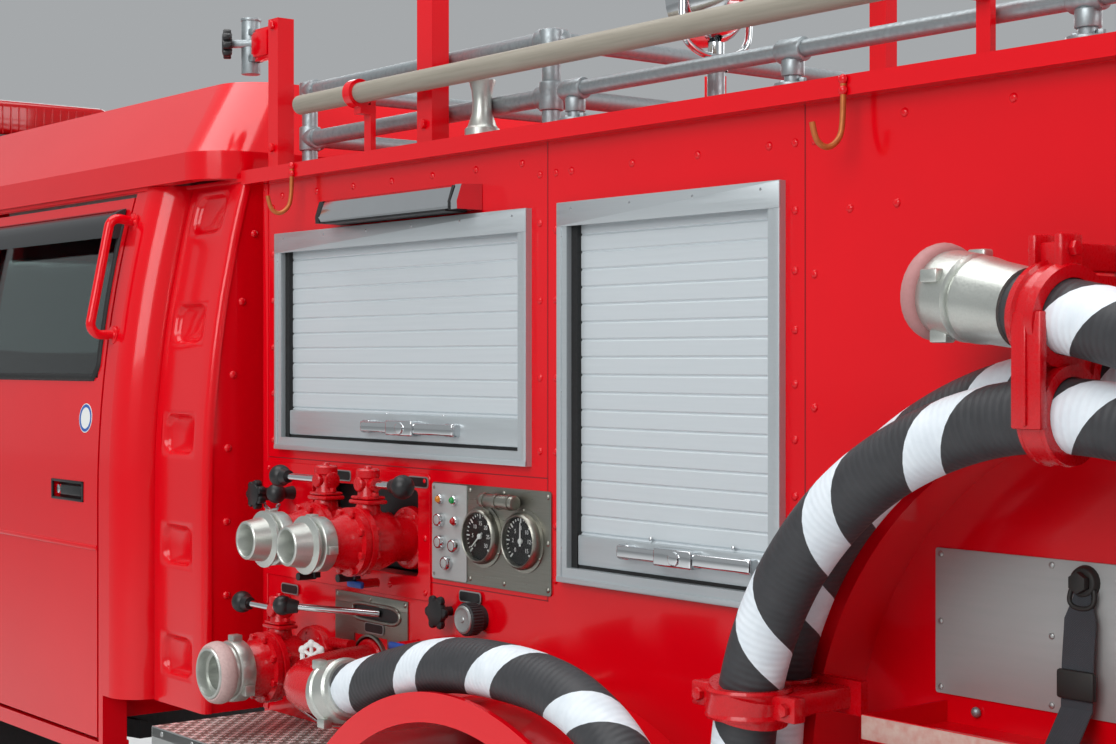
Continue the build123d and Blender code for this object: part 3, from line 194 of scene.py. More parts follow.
# Sizes shared with the CAD, in millimetres
SIDE_Y = 667
PLATE_Y = 670
FRONT_AXLE_X, REAR_AXLE_X, AXLE_Z = 1775, -1020, 375
TYRE_R, TYRE_HALF = 375, 102.5
WHEELS = {
    # name: axle x, the outer wheel's centre, how far out its disc's face is from there
    "front": (FRONT_AXLE_X, 725, 43),
    "rear": (REAR_AXLE_X, 765, -52),
}
RIM_EDGE_OUT = 69
# Shutters: rear and front X, low and high Z
LEFT_SHUTTER = (-888, -9, 1282, 1742)
RIGHT_SHUTTER = (-1515, -975, 1086, 1745)
STEM_Y = SIDE_Y + 85
OUTLET_X = (-486, -334)
OUTLET_Z = 1125
INLET_X, INLET_Z = -156, 844
SUCTION_X, SUCTION_Z = -369, 861
GAUGE_X, GAUGE_Z = (-748, -870), 1148
NICHE_X, NICHE_Z, NICHE_BOLTS_R = -2130, 846, 592
FENDER_R, FENDER_EDGE_Y = 548, 946
DECK_Z = 714


# ---------------------------------------------------------------- colours and materials
def linear(colour):
    """Linear values of an sRGB hex colour, or of a colour named in the sidebar."""
    if not colour.startswith("#"):
        return (*getattr(bpy.context.scene.pumper_colours, colour)[:3], 1.0)
    values = [int(colour[place:place + 2], 16) / 255 for place in (1, 3, 5)]
    return (*[v / 12.92 if v <= 0.04045 else ((v + 0.055) / 1.055) ** 2.4 for v in values], 1.0)


def add_node(tree, kind, settings=None, links=None):
    """Add one node with its settings and what goes into its sockets."""
    made = tree.nodes.new(kind)
    for name, value in (settings or {}).items():
        setattr(made, name, value)
    for name, value in (links or {}).items():
        if isinstance(value, bpy.types.NodeSocket):
            tree.links.new(value, made.inputs[name])
        else:
            made.inputs[name].default_value = value
    return made


def maths(tree, operation, *values):
    """Output of a maths node."""
    return add_node(tree, "ShaderNodeMath", {"operation": operation}, dict(enumerate(values))).outputs[0]


def spread_out(tree, value, low=0.0, high=1.0, start=0.0, end=1.0):
    """Output of a node that maps low and high to start and end."""
    return add_node(tree, "ShaderNodeMapRange", None, {
        "Value": value, "From Min": low, "From Max": high, "To Min": start, "To Max": end}).outputs[0]


def noise(tree, place, grain_mm, detail):
    """Output of a noise with a grain of a real size."""
    return add_node(tree, "ShaderNodeTexNoise", None, {
        "Vector": place, "Scale": 1 / (grain_mm * MM), "Detail": detail}).outputs["Fac"]


def mixed(tree, share, *ends):
    """Output of a mix between two ends, each a colour or another node's output."""
    first, second = (end if isinstance(end, bpy.types.NodeSocket) else linear(end) for end in ends)
    return add_node(tree, "ShaderNodeMix", {"data_type": "RGBA"}, {0: share, 6: first, 7: second}).outputs[2]


def bump(tree, height, distance_mm):
    """Normal that a height gives."""
    return add_node(tree, "ShaderNodeBump", None, {
        "Height": height, "Distance": distance_mm * MM, "Strength": 1.0}).outputs["Normal"]


def mapped(tree, place, **settings):
    """Coordinates that are moved, turned or scaled."""
    given = {name.title(): value for name, value in settings.items()}
    return add_node(tree, "ShaderNodeMapping", None, {"Vector": place, **given}).outputs["Vector"]


def axes(tree, place):
    """Outputs X, Y and Z of coordinates."""
    return add_node(tree, "ShaderNodeSeparateXYZ", None, {0: place}).outputs


def blank_material(name):
    """A material without nodes, its tree, and the object's coordinates in it."""
    material = bpy.data.materials.new(name)
    material.use_nodes = True
    tree = material.node_tree
    tree.nodes.clear()
    return material, tree, add_node(tree, "ShaderNodeTexCoord").outputs["Object"]


def shaded(material, inputs):
    """The material with its shader and output."""
    tree = material.node_tree
    shader = add_node(tree, "ShaderNodeBsdfPrincipled", None, inputs)
    add_node(tree, "ShaderNodeOutputMaterial", None, {0: shader.outputs[0]})
    return material


def worked_surface(name, colour, shade, grain_mm, metallic=0.0, roughness=0.5, spread=0.08, bump_mm=0.0,
                   coat=0.0, stretch=(1, 1, 1), share=0.5, detail=4.0, specular=0.5):
    """A finish with grain of a real size: it varies the colour and the gloss, and stands proud by bump_mm."""
    material, tree, place = blank_material(name)
    grain = noise(tree, mapped(tree, place, scale=stretch), grain_mm, detail)
    inputs = {
        "Base Color": mixed(tree, share, colour, mixed(tree, grain, colour, shade)),
        "Roughness": spread_out(tree, grain, 0.3, 0.7, max(0.02, roughness - spread), roughness + spread),
        "Metallic": metallic, "Coat Weight": coat, "Coat Roughness": 0.06, "Specular IOR Level": specular}
    if bump_mm:
        inputs["Normal"] = bump(tree, grain, bump_mm)
    return shaded(material, inputs)


def clear_surface(name, colour, roughness=0.02, transmission=1.0, emission=0.0, bend=1.5):
    """Glass or a lens: a thin tint with faint waves in its gloss."""
    material, tree, place = blank_material(name)
    waves = noise(tree, place, 60, 2.0)
    return shaded(material, {
        "Base Color": linear(colour), "Roughness": spread_out(tree, waves, 0, 1, roughness, roughness + 0.03),
        "IOR": bend, "Transmission Weight": transmission, "Emission Color": linear(colour),
        "Emission Strength": emission})


def chequer_plate(name):
    """Aluminium tread plate: raised bars 26 mm apart in two directions, much lighter and glossier than the ground
    between them.
    """
    material, tree, place = blank_material(name)
    per_pitch = 1 / (26 * MM)
    bars = []
    for turn, shift in ((45, 0.0), (-45, 13.0)):
        cut = axes(tree, mapped(tree, place, rotation=(0, 0, math.radians(turn)), location=(shift * MM, 0, 0),
                                scale=(per_pitch, per_pitch, 1)))
        sides = [spread_out(tree, maths(tree, "PINGPONG", cut[axis], 0.5), half + 0.06, half)
                 for axis, half in (("X", 0.36), ("Y", 0.11))]
        bars.append(maths(tree, "MULTIPLY", *sides))
    raised = maths(tree, "MAXIMUM", *bars)
    ground = mixed(tree, noise(tree, place, 40, 5.0), "#8C8A84", "#66625B")
    return shaded(material, {
        "Base Color": mixed(tree, raised, ground, "#E6E6E2"), "Metallic": 0.3,
        "Roughness": spread_out(tree, raised, 0, 1, 0.42, 0.25), "Normal": bump(tree, raised, 2)})


def spiral_rubber(name):
    """Suction hose cover: ribbed black rubber with one white band wound round it."""
    material, tree, place = blank_material(name)
    along, lift, side = (add_node(tree, "ShaderNodeAttribute", {"attribute_name": kept}).outputs["Fac"]
                         for kept in HOSE_LAYERS)
    turns = maths(tree, "DIVIDE", maths(tree, "ARCTAN2", lift, side), math.tau)
    pitches = maths(tree, "DIVIDE", along, bpy.context.scene.pumper_sizes.band_pitch)
    band = maths(tree, "LESS_THAN", maths(tree, "FRACT", maths(tree, "ADD", pitches, turns)), 0.32)
    scuffs = noise(tree, place, 25, 6.0)
    black = mixed(tree, scuffs, "hose", "#3A3B3E")
    white = mixed(tree, scuffs, "hose_band", "#C9D2DA")
    ribs = maths(tree, "SINE", maths(tree, "MULTIPLY", along, math.tau / 0.011))
    return shaded(material, {
        "Base Color": mixed(tree, band, black, white), "Roughness": 0.55,
        "Normal": bump(tree, maths(tree, "MULTIPLY_ADD", ribs, 0.5, scuffs), 0.5)})


def woven_band(name, colour, shade, thread_mm=1.2):
    """Woven strap or seat cloth: crossed threads drawn as two sine waves."""
    material, tree, place = blank_material(name)
    cut = axes(tree, place)
    threads = [maths(tree, "SINE", maths(tree, "MULTIPLY", cut[axis], math.tau / (2 * thread_mm * MM)))
               for axis in ("X", "Z")]
    weave = maths(tree, "MULTIPLY", *threads)
    amount = maths(tree, "MULTIPLY_ADD", weave, 0.35, noise(tree, place, 80, 3.0))
    return shaded(material, {
        "Base Color": mixed(tree, amount, colour, shade), "Roughness": 0.85, "Sheen Weight": 0.3,
        "Normal": bump(tree, weave, 0.3)})


def tread_rubber(name, axle_x):
    """Road tyre: side blocks cut across the tread, 5 degrees apart round this axle."""
    material, tree, place = blank_material(name)
    cut = axes(tree, mapped(tree, place, location=(-axle_x * MM, 0, -AXLE_Z * MM)))
    blocks = maths(tree, "MULTIPLY", maths(tree, "ARCTAN2", cut["Z"], cut["X"]), 72.0)
    flat = maths(tree, "MULTIPLY", cut["X"], cut["X"])
    radius = maths(tree, "SQRT", maths(tree, "MULTIPLY_ADD", cut["Z"], cut["Z"], flat))
    rings = maths(tree, "SINE", maths(tree, "MULTIPLY", radius, math.tau / 0.012))
    height = add_node(tree, "ShaderNodeMix", {"data_type": "FLOAT"}, {
        0: spread_out(tree, radius, 0.352, 0.36), 2: maths(tree, "MULTIPLY", rings, 0.05),
        3: spread_out(tree, maths(tree, "SINE", blocks), -0.95, -0.7)})
    return shaded(material, {
        "Base Color": mixed(tree, noise(tree, place, 60, 5.0), "#1B1B1C", "#2D2C2A"), "Roughness": 0.75,
        "Normal": bump(tree, height.outputs[0], 5)})


FINISHES = {
    # name: maker, its colours and sizes, and what differs from its usual values
    # red enamel sprayed on sheet steel: wet gloss with faint orange peel
    "red_enamel": (worked_surface, ("enamel", "#C8000F", 260),
        dict(roughness=0.18, spread=0.04, coat=0.3, share=0.6, bump_mm=0.02, specular=0.3)),
    # the same enamel over sand-cast iron: pebbled skin
    "red_casting": (worked_surface, ("casting", "#A8000C", 5),
        dict(roughness=0.3, spread=0.1, coat=0.35, bump_mm=0.35, share=0.7, specular=0.35)),
    # satin anodised extrusion of the slats
    "anodised_slat": (worked_surface, ("slat", "#BEC6CA", 8),
        dict(metallic=0.25, roughness=0.42, stretch=(0.04, 1, 1), share=0.7)),
    "anodised_frame": (worked_surface, ("#C3CACD", "#AEB6BA", 6),
        dict(metallic=0.6, roughness=0.38, stretch=(0.05, 1, 1), bump_mm=0.02)),
    # brushed stainless sheet, brushed along the truck
    "brushed_stainless": (worked_surface, ("stainless", "#7A7971", 2.5),
        dict(metallic=0.95, roughness=0.34, stretch=(0.03, 1, 1), bump_mm=0.03)),
    "rolled_aluminium": (worked_surface, ("#B0B3B1", "#94989A", 14),
        dict(metallic=0.8, roughness=0.42, stretch=(0.08, 1, 1), bump_mm=0.02)),
    # turned cast aluminium of the couplings
    "turned_aluminium": (worked_surface, ("#C9CCC6", "#A9ADA8", 3),
        dict(metallic=0.85, roughness=0.36, bump_mm=0.08)),
    "chrome_plate": (worked_surface, ("#D9DCDE", "#C6C9CB", 40),
        dict(metallic=1.0, roughness=0.1, spread=0.03, share=0.4)),
    "galvanised": (worked_surface, ("#A7AFB2", "#858D90", 9),
        dict(metallic=0.75, roughness=0.45, bump_mm=0.05, share=0.9, detail=1.0)),
    "worn_pole": (worked_surface, ("#A09A8D", "#7E786C", 7),
        dict(metallic=0.2, roughness=0.6, stretch=(0.05, 1, 1), bump_mm=0.1, share=0.9)),
    "chassis_black": (worked_surface, ("#141415", "#242322", 30), dict(roughness=0.5, bump_mm=0.15)),
    "forged_steel": (worked_surface, ("#2A2A2A", "#3D3833", 18),
        dict(metallic=0.4, roughness=0.55, bump_mm=0.3)),
    "wheel_silver": (worked_surface, ("#B9BDC0", "#A0A4A8", 20),
        dict(metallic=0.6, roughness=0.35, bump_mm=0.03)),
    "moulded_black": (worked_surface, ("#131314", "#1E1E20", 2), dict(roughness=0.42, bump_mm=0.06)),
    "seal_rubber": (worked_surface, ("#0E0E0F", "#1A1A1B", 6), dict(roughness=0.6, bump_mm=0.05)),
    "pink_rubber": (worked_surface, ("rubber_ring", "#9A6A69", 6), dict(roughness=0.65, bump_mm=0.1)),
    "copper_hook": (worked_surface, ("#CB7238", "#9A5226", 9),
        dict(metallic=0.4, roughness=0.45, bump_mm=0.1, share=0.9)),
    "matte_aluminium": (worked_surface, ("#B0B2B1", "#9EA1A0", 14),
        dict(metallic=0.35, roughness=0.55, stretch=(0.08, 1, 1), bump_mm=0.02)),
    "worn_ring": (worked_surface, ("#CDB2AE", "#A98B88", 5), dict(roughness=0.6, bump_mm=0.1, share=0.9)),
    "dial_white": (worked_surface, ("#ECEDEA", "#DADBD6", 30), dict(roughness=0.4)),
    "dial_black": (worked_surface, ("#0B0B0C", "#161617", 12), dict(roughness=0.4)),
    "white_enamel": (worked_surface, ("#E9EAE8", "#D8DAD8", 40), dict(roughness=0.35, coat=0.2)),
    "blue_plastic": (worked_surface, ("#1C4FA8", "#163F88", 6), dict(roughness=0.4, bump_mm=0.05)),
    "sticker_blue": (worked_surface, ("#2D5FB0", "#264F95", 10), dict(roughness=0.45)),
    # painted shade of the sheet joints' grooves
    "deep_red": (worked_surface, ("#8E000C", "#7A000A", 40), dict(roughness=0.4)),
    "worn_edge": (worked_surface, ("#C9B9AE", "#B04A3E", 14), dict(roughness=0.6, bump_mm=0.1, share=0.9)),
    "cab_liner": (worked_surface, ("#4A4B4D", "#3C3D3F", 4), dict(roughness=0.8, bump_mm=0.15)),
    "cast_dash": (worked_surface, ("#2B2C2E", "#232426", 3), dict(roughness=0.6, bump_mm=0.15)),
    "window_glass": (clear_surface, ("window",), {}),
    "smoked_visor": (clear_surface, ("#2A2C30",), dict(transmission=0.75)),
    "gauge_glass": (clear_surface, ("#F4F6F6",), dict(roughness=0.0, bend=1.12)),
    "clear_lens": (clear_surface, ("#E8EEF0",), dict(roughness=0.05)),
    "red_lens": (clear_surface, ("#C4000C",), dict(roughness=0.08, transmission=0.45, emission=0.05)),
    "amber_lens": (clear_surface, ("#E08A12",), dict(roughness=0.08, transmission=0.4, emission=0.1)),
    "green_lens": (clear_surface, ("#1E9A4B",), dict(roughness=0.08, transmission=0.4, emission=0.1)),
    "reflector_silver": (worked_surface, ("#C7CCD0", "#B4B9BD", 12), dict(metallic=1.0, roughness=0.16)),
    "tread_plate": (chequer_plate, (), {}),
    "hose_cover": (spiral_rubber, (), {}),
    "strap_webbing": (woven_band, ("#23262B", "#363A42"), {}),
    "seat_cloth": (woven_band, ("#22242A", "#34373F", 2.0), {}),
    "front_tyre": (tread_rubber, (FRONT_AXLE_X,), {}),
    "rear_tyre": (tread_rubber, (REAR_AXLE_X,), {}),
}
# The material slot that a piece of each finish goes to, unless it names another
SLOTS = {
    "red_paint": ("red_enamel", "red_casting", "deep_red", "worn_edge"),
    "black_plastic": ("moulded_black", "seal_rubber", "blue_plastic", "cab_liner", "cast_dash", "dial_black",
                      "dial_white"),
    "lamp_lens": ("amber_lens", "green_lens", "clear_lens", "sticker_blue", "white_enamel"),
    "cast_aluminium": ("turned_aluminium", "copper_hook"),
    "chrome": ("chrome_plate", "reflector_silver", "forged_steel"),
    "stainless": ("brushed_stainless",),
    "anodised": ("anodised_frame", "matte_aluminium"),
    "zinc": ("galvanised",),
    "hose_rubber": ("hose_cover", "pink_rubber", "worn_ring"),
    "glass": ("gauge_glass", "smoked_visor"),
    "red_lens": ("red_lens",),
    "checker_plate": ("tread_plate", "rolled_aluminium"),
    "wheel_paint": ("wheel_silver",),
    "webbing": ("strap_webbing",),
}
SLOT_OF = {finish: slot for slot, finishes in SLOTS.items() for finish in finishes}
_made = {}


def finish(name):
    """The material of that name, made once."""
    if name not in _made:
        maker, given, settings = FINISHES[name]
        _made[name] = maker(name, *given, **settings)
    return _made[name]


# ---------------------------------------------------------------- shaping helpers, sizes in millimetres
def blanks(count):
    """So many empty bmeshes."""
    return [bmesh.new() for _ in range(count)]


def linked(name, data):
    """A new object in the scene."""
    made = bpy.data.objects.new(name, data)
    bpy.context.scene.collection.objects.link(made)
    return made


def box(bm, x, y, z, bevel=0.0, segments=2):
    """Box between two X, two Y and two Z values, its edges rounded by bevel."""
    made = bmesh.ops.create_cube(bm, size=1)["verts"]
    size = Vector((abs(x[1] - x[0]), abs(y[1] - y[0]), abs(z[1] - z[0])))
    middle = Vector((sum(x) / 2, sum(y) / 2, sum(z) / 2))
    bmesh.ops.scale(bm, vec=size * MM, verts=made)
    bmesh.ops.translate(bm, vec=middle * MM, verts=made)
    if bevel:
        edges = list(dict.fromkeys(edge for vert in made for edge in vert.link_edges))
        bmesh.ops.bevel(bm, geom=edges, offset=bevel * MM, segments=segments, affect="EDGES", profile=0.5,
                        material=-1)


def side_box(bm, x, out, z, bevel=0.0, segments=2):
    """Box whose Y values are counted outward from the body's side."""
    box(bm, x, (SIDE_Y + out[0], SIDE_Y + out[1]), z, bevel, segments)


def block(bm, centre, half, bevel=0.0, segments=2):
    """Box round a centre, from its half sizes."""
    box(bm, *[(middle - reach, middle + reach) for middle, reach in zip(centre, half)], bevel, segments)


def facing(start, direction):
    """Matrix that puts the Z axis along a direction from a start point given in millimetres."""
    turn = Vector(UP).rotation_difference(Vector(direction)).to_matrix().to_4x4()
    return Matrix.Translation(Vector(start) * MM) @ turn


def rod(bm, start, end, radius, top=None, segments=24, bevel=0.0):
    """Round bar or cone between two points."""
    way = Vector(end) - Vector(start)
    middle = Vector(start) + way / 2
    made = bmesh.ops.create_cone(
        bm, cap_ends=True, segments=segments, radius1=radius * MM,
        radius2=(radius if top is None else top) * MM, depth=way.length * MM,
        matrix=facing(middle, way))["verts"]
    if bevel:
        edges = dict.fromkeys(edge for vert in made for edge in vert.link_edges)
        rims = [edge for edge in edges if any(len(face.verts) > 4 for face in edge.link_faces)]
        bmesh.ops.bevel(bm, geom=rims, offset=bevel * MM, segments=2, affect="EDGES", profile=0.5,
                        material=-1)


def turned(bm, origin, direction, profile, steps=32):
    """Turned form: profile rows are (distance along the axis, radius), spun round the axis."""
    place = facing(origin, direction)
    points = [bm.verts.new(place @ Vector((radius * MM, 0, along * MM))) for along, radius in profile]
    edges = [bm.edges.new(pair) for pair in zip(points, points[1:])]
    axis = place.to_3x3() @ Vector(UP)
    bmesh.ops.spin(bm, geom=points + edges, cent=place.translation, axis=axis, angle=math.tau, steps=steps,
                   use_merge=True, use_duplicate=False)
    bmesh.ops.remove_doubles(bm, verts=[v for v in bm.verts if v.is_valid], dist=1e-6)


def bolt(bm, centre, direction, radius=8, height=5):
    """Dome-headed bolt seen from outside."""
    radius *= bpy.context.scene.pumper_sizes.bolt_scale
    made = bmesh.ops.create_uvsphere(bm, u_segments=10, v_segments=6, radius=1)["verts"]
    bmesh.ops.scale(bm, vec=Vector((radius, radius, height)) * MM, verts=made)
    bmesh.ops.transform(bm, matrix=facing(centre, direction), verts=made)


def bolts(bm, spots, face, radius, height):
    """Dome-headed bolts on an upright face, from their places in X and Z."""
    for x, z in spots:
        bolt(bm, (x, face, z), OUT, radius, height)


def hexagon(bm, centre, direction, across, height):
    """Hexagon nut or bolt head standing on a surface."""
    start = Vector(centre)
    rod(bm, start, start + Vector(direction).normalized() * height, across / 1.732, segments=6,
        bevel=across * 0.05)


def polar(x, z, radius, degrees):
    """Place at an angle round a point of the side view."""
    ray = math.radians(degrees)
    return x + radius * math.cos(ray), z + radius * math.sin(ray)


def ring_of(centre, direction, radius, count, start=0.0):
    """Points evenly round an axis."""
    place = facing(centre, direction)
    for number in range(count):
        angle = start + math.tau * number / count
        yield place @ Vector((radius * MM * math.cos(angle), radius * MM * math.sin(angle), 0)) / MM


def smooth_mesh(points, resolution=8, cyclic=False, radius=0.0):
    """Mesh of the smooth line that points in metres control, or of a capped round bar along it."""
    curve = bpy.data.curves.new("line", "CURVE")
    curve.dimensions = "3D"
    if radius:
        curve.bevel_depth, curve.bevel_resolution, curve.use_fill_caps = radius, 4, True
    spline = curve.splines.new("NURBS")
    spline.points.add(len(points) - 1)
    for point, place in zip(spline.points, points):
        point.co = (*place, 1)
    spline.order_u = 3
    spline.use_endpoint_u = True
    spline.use_cyclic_u = cyclic
    spline.resolution_u = resolution
    return curve_mesh(curve)


def curve_mesh(curve):
    """Mesh of a curve or text, which is removed."""
    holder = bpy.data.objects.new("line", curve)
    mesh = bpy.data.meshes.new_from_object(holder)
    bpy.data.objects.remove(holder)
    bpy.data.curves.remove(curve)
    return mesh


def bent_bar(bm, points, radius, resolution=8, cyclic=False):
    """Round bar that follows a smooth curve through its control points."""
    mesh = smooth_mesh([Vector(point) * MM for point in points], resolution, cyclic, radius * MM)
    bm.from_mesh(mesh)
    bpy.data.meshes.remove(mesh)


def flat_plate(bm, outline, plane, low, high, bevel=0.0):
    """Plate with an outline in the first two axes of plane, such as XZY, and its thickness along the third."""
    order = ["XYZ".index(axis) for axis in plane]
    def place(u, v, w):
        spot = [0, 0, 0]
        spot[order[0]], spot[order[1]], spot[order[2]] = u, v, w
        return Vector(spot) * MM
    base = bm.faces.new([bm.verts.new(place(u, v, low)) for u, v in outline])
    shift = place(0, 0, high - low)
    grown = bmesh.ops.extrude_face_region(bm, geom=[base])["geom"]
    moved = [item for item in grown if isinstance(item, bmesh.types.BMVert)]
    bmesh.ops.translate(bm, vec=shift, verts=moved)
    if bevel:
        rim = [e for f in grown if isinstance(f, bmesh.types.BMFace) for e in f.edges]
        bmesh.ops.bevel(bm, geom=rim, offset=bevel * MM, segments=2, affect="EDGES", profile=0.5, material=-1)


def skin(bm, rows, around=False):
    """Faces between rows of points, in millimetres; around closes each row on itself."""
    made = [[bm.verts.new(Vector(point) * MM) for point in row] for row in rows]
    for lower, upper in zip(made, made[1:]):
        if around:
            lower, upper = lower + lower[:1], upper + upper[:1]
        for a, b, c, d in zip(lower, lower[1:], upper[1:], upper):
            bm.faces.new((a, b, c, d))
    return made


def outlined(x, z, corner=0.0, steps=5):
    """Rectangle outline with round corners, as pairs."""
    if not corner:
        return [(x[0], z[0]), (x[1], z[0]), (x[1], z[1]), (x[0], z[1])]
    points = []
    for cx, cz, start in ((x[1] - corner, z[0] + corner, -90), (x[1] - corner, z[1] - corner, 0),
                          (x[0] + corner, z[1] - corner, 90), (x[0] + corner, z[0] + corner, 180)):
        for step in range(steps + 1):
            points.append(polar(cx, cz, corner, start + 90 * step / steps))
    return points


def publish(name, bm, material, body="chassis", slot=None, hides=(), one=False, angle=35):
    """Turn a finished bmesh into a left piece and its mirror copy for the right side, or into one piece."""
    bmesh.ops.recalc_face_normals(bm, faces=bm.faces)
    sides = (("", 1),) if one else (("_left", 1), ("_right", -1))
    made = []
    for suffix, sign in sides:
        copy = bm.copy()
        if sign < 0:
            bmesh.ops.scale(copy, vec=(1, -1, 1), verts=copy.verts)
            bmesh.ops.reverse_faces(copy, faces=copy.faces)
        mesh = bpy.data.meshes.new(name + suffix)
        copy.to_mesh(mesh)
        copy.free()
        mesh.shade_smooth()
        mesh.set_sharp_from_angle(angle=math.radians(angle))
        mesh.materials.append(finish(material))
        piece = linked(name + suffix, mesh)
        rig.ride(piece, body if body == "chassis" else body + suffix)
        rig.slot(piece, slot or SLOT_OF[material])
        if hides:
            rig.replaces(piece, *hides)
        made.append(piece)
    bm.free()
    return made


def dress(node, material):
    """Give a CAD node its finish."""
    mesh = NODES[node].data
    mesh.materials.clear()
    mesh.materials.append(finish(material))


# ---------------------------------------------------------------- stage
def make_camera():
    """Camera where the photographer stood: behind the left rear corner, at a standing man's chest height."""
    view = bpy.context.scene.pumper_view
    data = bpy.data.cameras.new("Camera")
    data.lens = view.lens
    data.sensor_width = 36
    data.shift_y = view.shift
    data.clip_end = 200
    camera = linked("Camera", data)
    camera.location = view.eye
    ahead = Vector((math.cos(view.heading), math.sin(view.heading), 0))
    camera.rotation_euler = ahead.to_track_quat("-Z", "Y").to_euler()
    bpy.context.scene.camera = camera


def make_lights():
    """Big soft boxes on the photographed side and above, and a pale room."""
    view = bpy.context.scene.pumper_view
    world = bpy.data.worlds.new("Studio")
    world.use_nodes = True
    backdrop = world.node_tree.nodes["Background"]
    backdrop.inputs["Color"].default_value = linear("#E9EDF0")
    backdrop.inputs["Strength"].default_value = view.room
    bpy.context.scene.world = world
    bpy.context.scene.view_settings.view_transform = "Standard"
    bpy.context.scene.view_settings.exposure = view.exposure
    for name, spot, aim, size, power in (
        ("Side box", (-3.0, 7.0, 5.0), (-0.6, 0.7, 1.1), 5.0, view.side_power),
        ("Top box", (0.5, 1.0, 7.5), (0.0, 0.0, 1.5), 6.0, view.top_power),
        ("Rear box", (-8.0, -1.0, 4.0), (-2.5, 0.0, 1.0), 4.0, view.rear_power),
        ("Front box", (8.0, -3.5, 4.0), (2.5, 0.0, 1.0), 4.0, view.rear_power),
        ("Far side box", (0.0, -7.0, 4.5), (0.0, -0.7, 1.0), 5.0, view.rear_power),
    ):
        data = bpy.data.lights.new(name, "AREA")
        data.size = size
        data.energy = power
        lamp = linked(name, data)
        lamp.location = spot
        lamp.rotation_euler = (Vector(aim) - Vector(spot)).to_track_quat("-Z", "Y").to_euler()


def make_floor():
    """Pale sealed floor, wide enough for every view."""
    bm = bmesh.new()
    bmesh.ops.create_grid(bm, x_segments=1, y_segments=1, size=60)
    mesh = bpy.data.meshes.new("Floor")
    bm.to_mesh(mesh)
    bm.free()
    mesh.materials.append(worked_surface("studio_floor", "#D9DADA", "#CFD0D0", 900, roughness=0.6))
    floor = linked("Floor", mesh)
    floor.location.z = -0.001
    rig.stage(floor)


# ---------------------------------------------------------------- hoses
# Route of the left suction hose, in metres: the CAD's corners, with more points on its turns
HOSE_Y = 0.667
HOSE_POINTS = (
    (-0.655, 0.230, 0.880), (-0.760, 0.230, 0.912), (-0.870, 0.230, 0.944), (-0.995, 0.230, 0.967),
    (-1.120, 0.230, 0.970), (-1.240, 0.230, 0.962), (-1.340, 0.232, 0.930), (-1.430, 0.238, 0.868),
    (-1.500, 0.243, 0.788), (-1.575, 0.246, 0.690), (-1.660, 0.243, 0.625), (-1.800, 0.225, 0.597),
    (-1.980, 0.185, 0.592), (-2.180, 0.140, 0.592), (-2.380, 0.098, 0.594), (-2.540, 0.070, 0.606),
    (-2.668, 0.055, 0.662), (-2.722, 0.050, 0.780), (-2.724, 0.050, 0.930), (-2.690, 0.050, 1.080),
    (-2.612, 0.050, 1.216), (-2.500, 0.050, 1.330), (-2.360, 0.050, 1.408), (-2.210, 0.050, 1.443),
    (-2.060, 0.050, 1.445), (-1.912, 0.050, 1.410), (-1.775, 0.050, 1.338), (-1.660, 0.050, 1.232),
    (-1.578, 0.050, 1.100), (-1.538, 0.050, 0.960), (-1.532, 0.052, 0.820), (-1.550, 0.056, 0.690),
    (-1.612, 0.064, 0.574), (-1.722, 0.076, 0.503), (-1.880, 0.090, 0.486), (-2.070, 0.106, 0.488),
    (-2.260, 0.124, 0.487), (-2.430, 0.140, 0.500), (-2.580, 0.150, 0.556), (-2.664, 0.150, 0.665),
    (-2.690, 0.150, 0.800), (-2.684, 0.150, 0.940), (-2.645, 0.150, 1.080), (-2.562, 0.150, 1.212),
    (-2.450, 0.150, 1.312), (-2.320, 0.150, 1.376), (-2.185, 0.150, 1.404), (-2.045, 0.150, 1.402),
    (-1.905, 0.150, 1.362), (-1.780, 0.150, 1.290), (-1.680, 0.150, 1.190), (-1.610, 0.150, 1.070),
    (-1.576, 0.150, 0.940), (-1.572, 0.154, 0.810), (-1.590, 0.162, 0.680), (-1.655, 0.174, 0.570),
    (-1.760, 0.188, 0.507), (-1.900, 0.200, 0.490), (-2.080, 0.214, 0.490), (-2.270, 0.228, 0.490),
    (-2.440, 0.240, 0.502), (-2.590, 0.246, 0.562), (-2.675, 0.246, 0.680), (-2.700, 0.246, 0.830),
    (-2.700, 0.244, 0.985), (-2.682, 0.241, 1.140), (-2.620, 0.233, 1.290), (-2.505, 0.215, 1.400),
    (-2.360, 0.195, 1.472), (-2.215, 0.172, 1.512), (-2.070, 0.150, 1.536), (-2.021, 0.143, 1.544),
)
HOSE_R = 0.0465
HOSE_LAYERS = ("along", "ring_sin", "ring_cos")
HOSE_IN_COUPLING = 50


def hose_line(side):
    """The smooth line that the route's points control, read back as points."""
    mesh = smooth_mesh([(x, side * (HOSE_Y + out), z) for x, out, z in HOSE_POINTS])
    points = [vert.co.copy() for vert in mesh.vertices]
    bpy.data.meshes.remove(mesh)
    return points


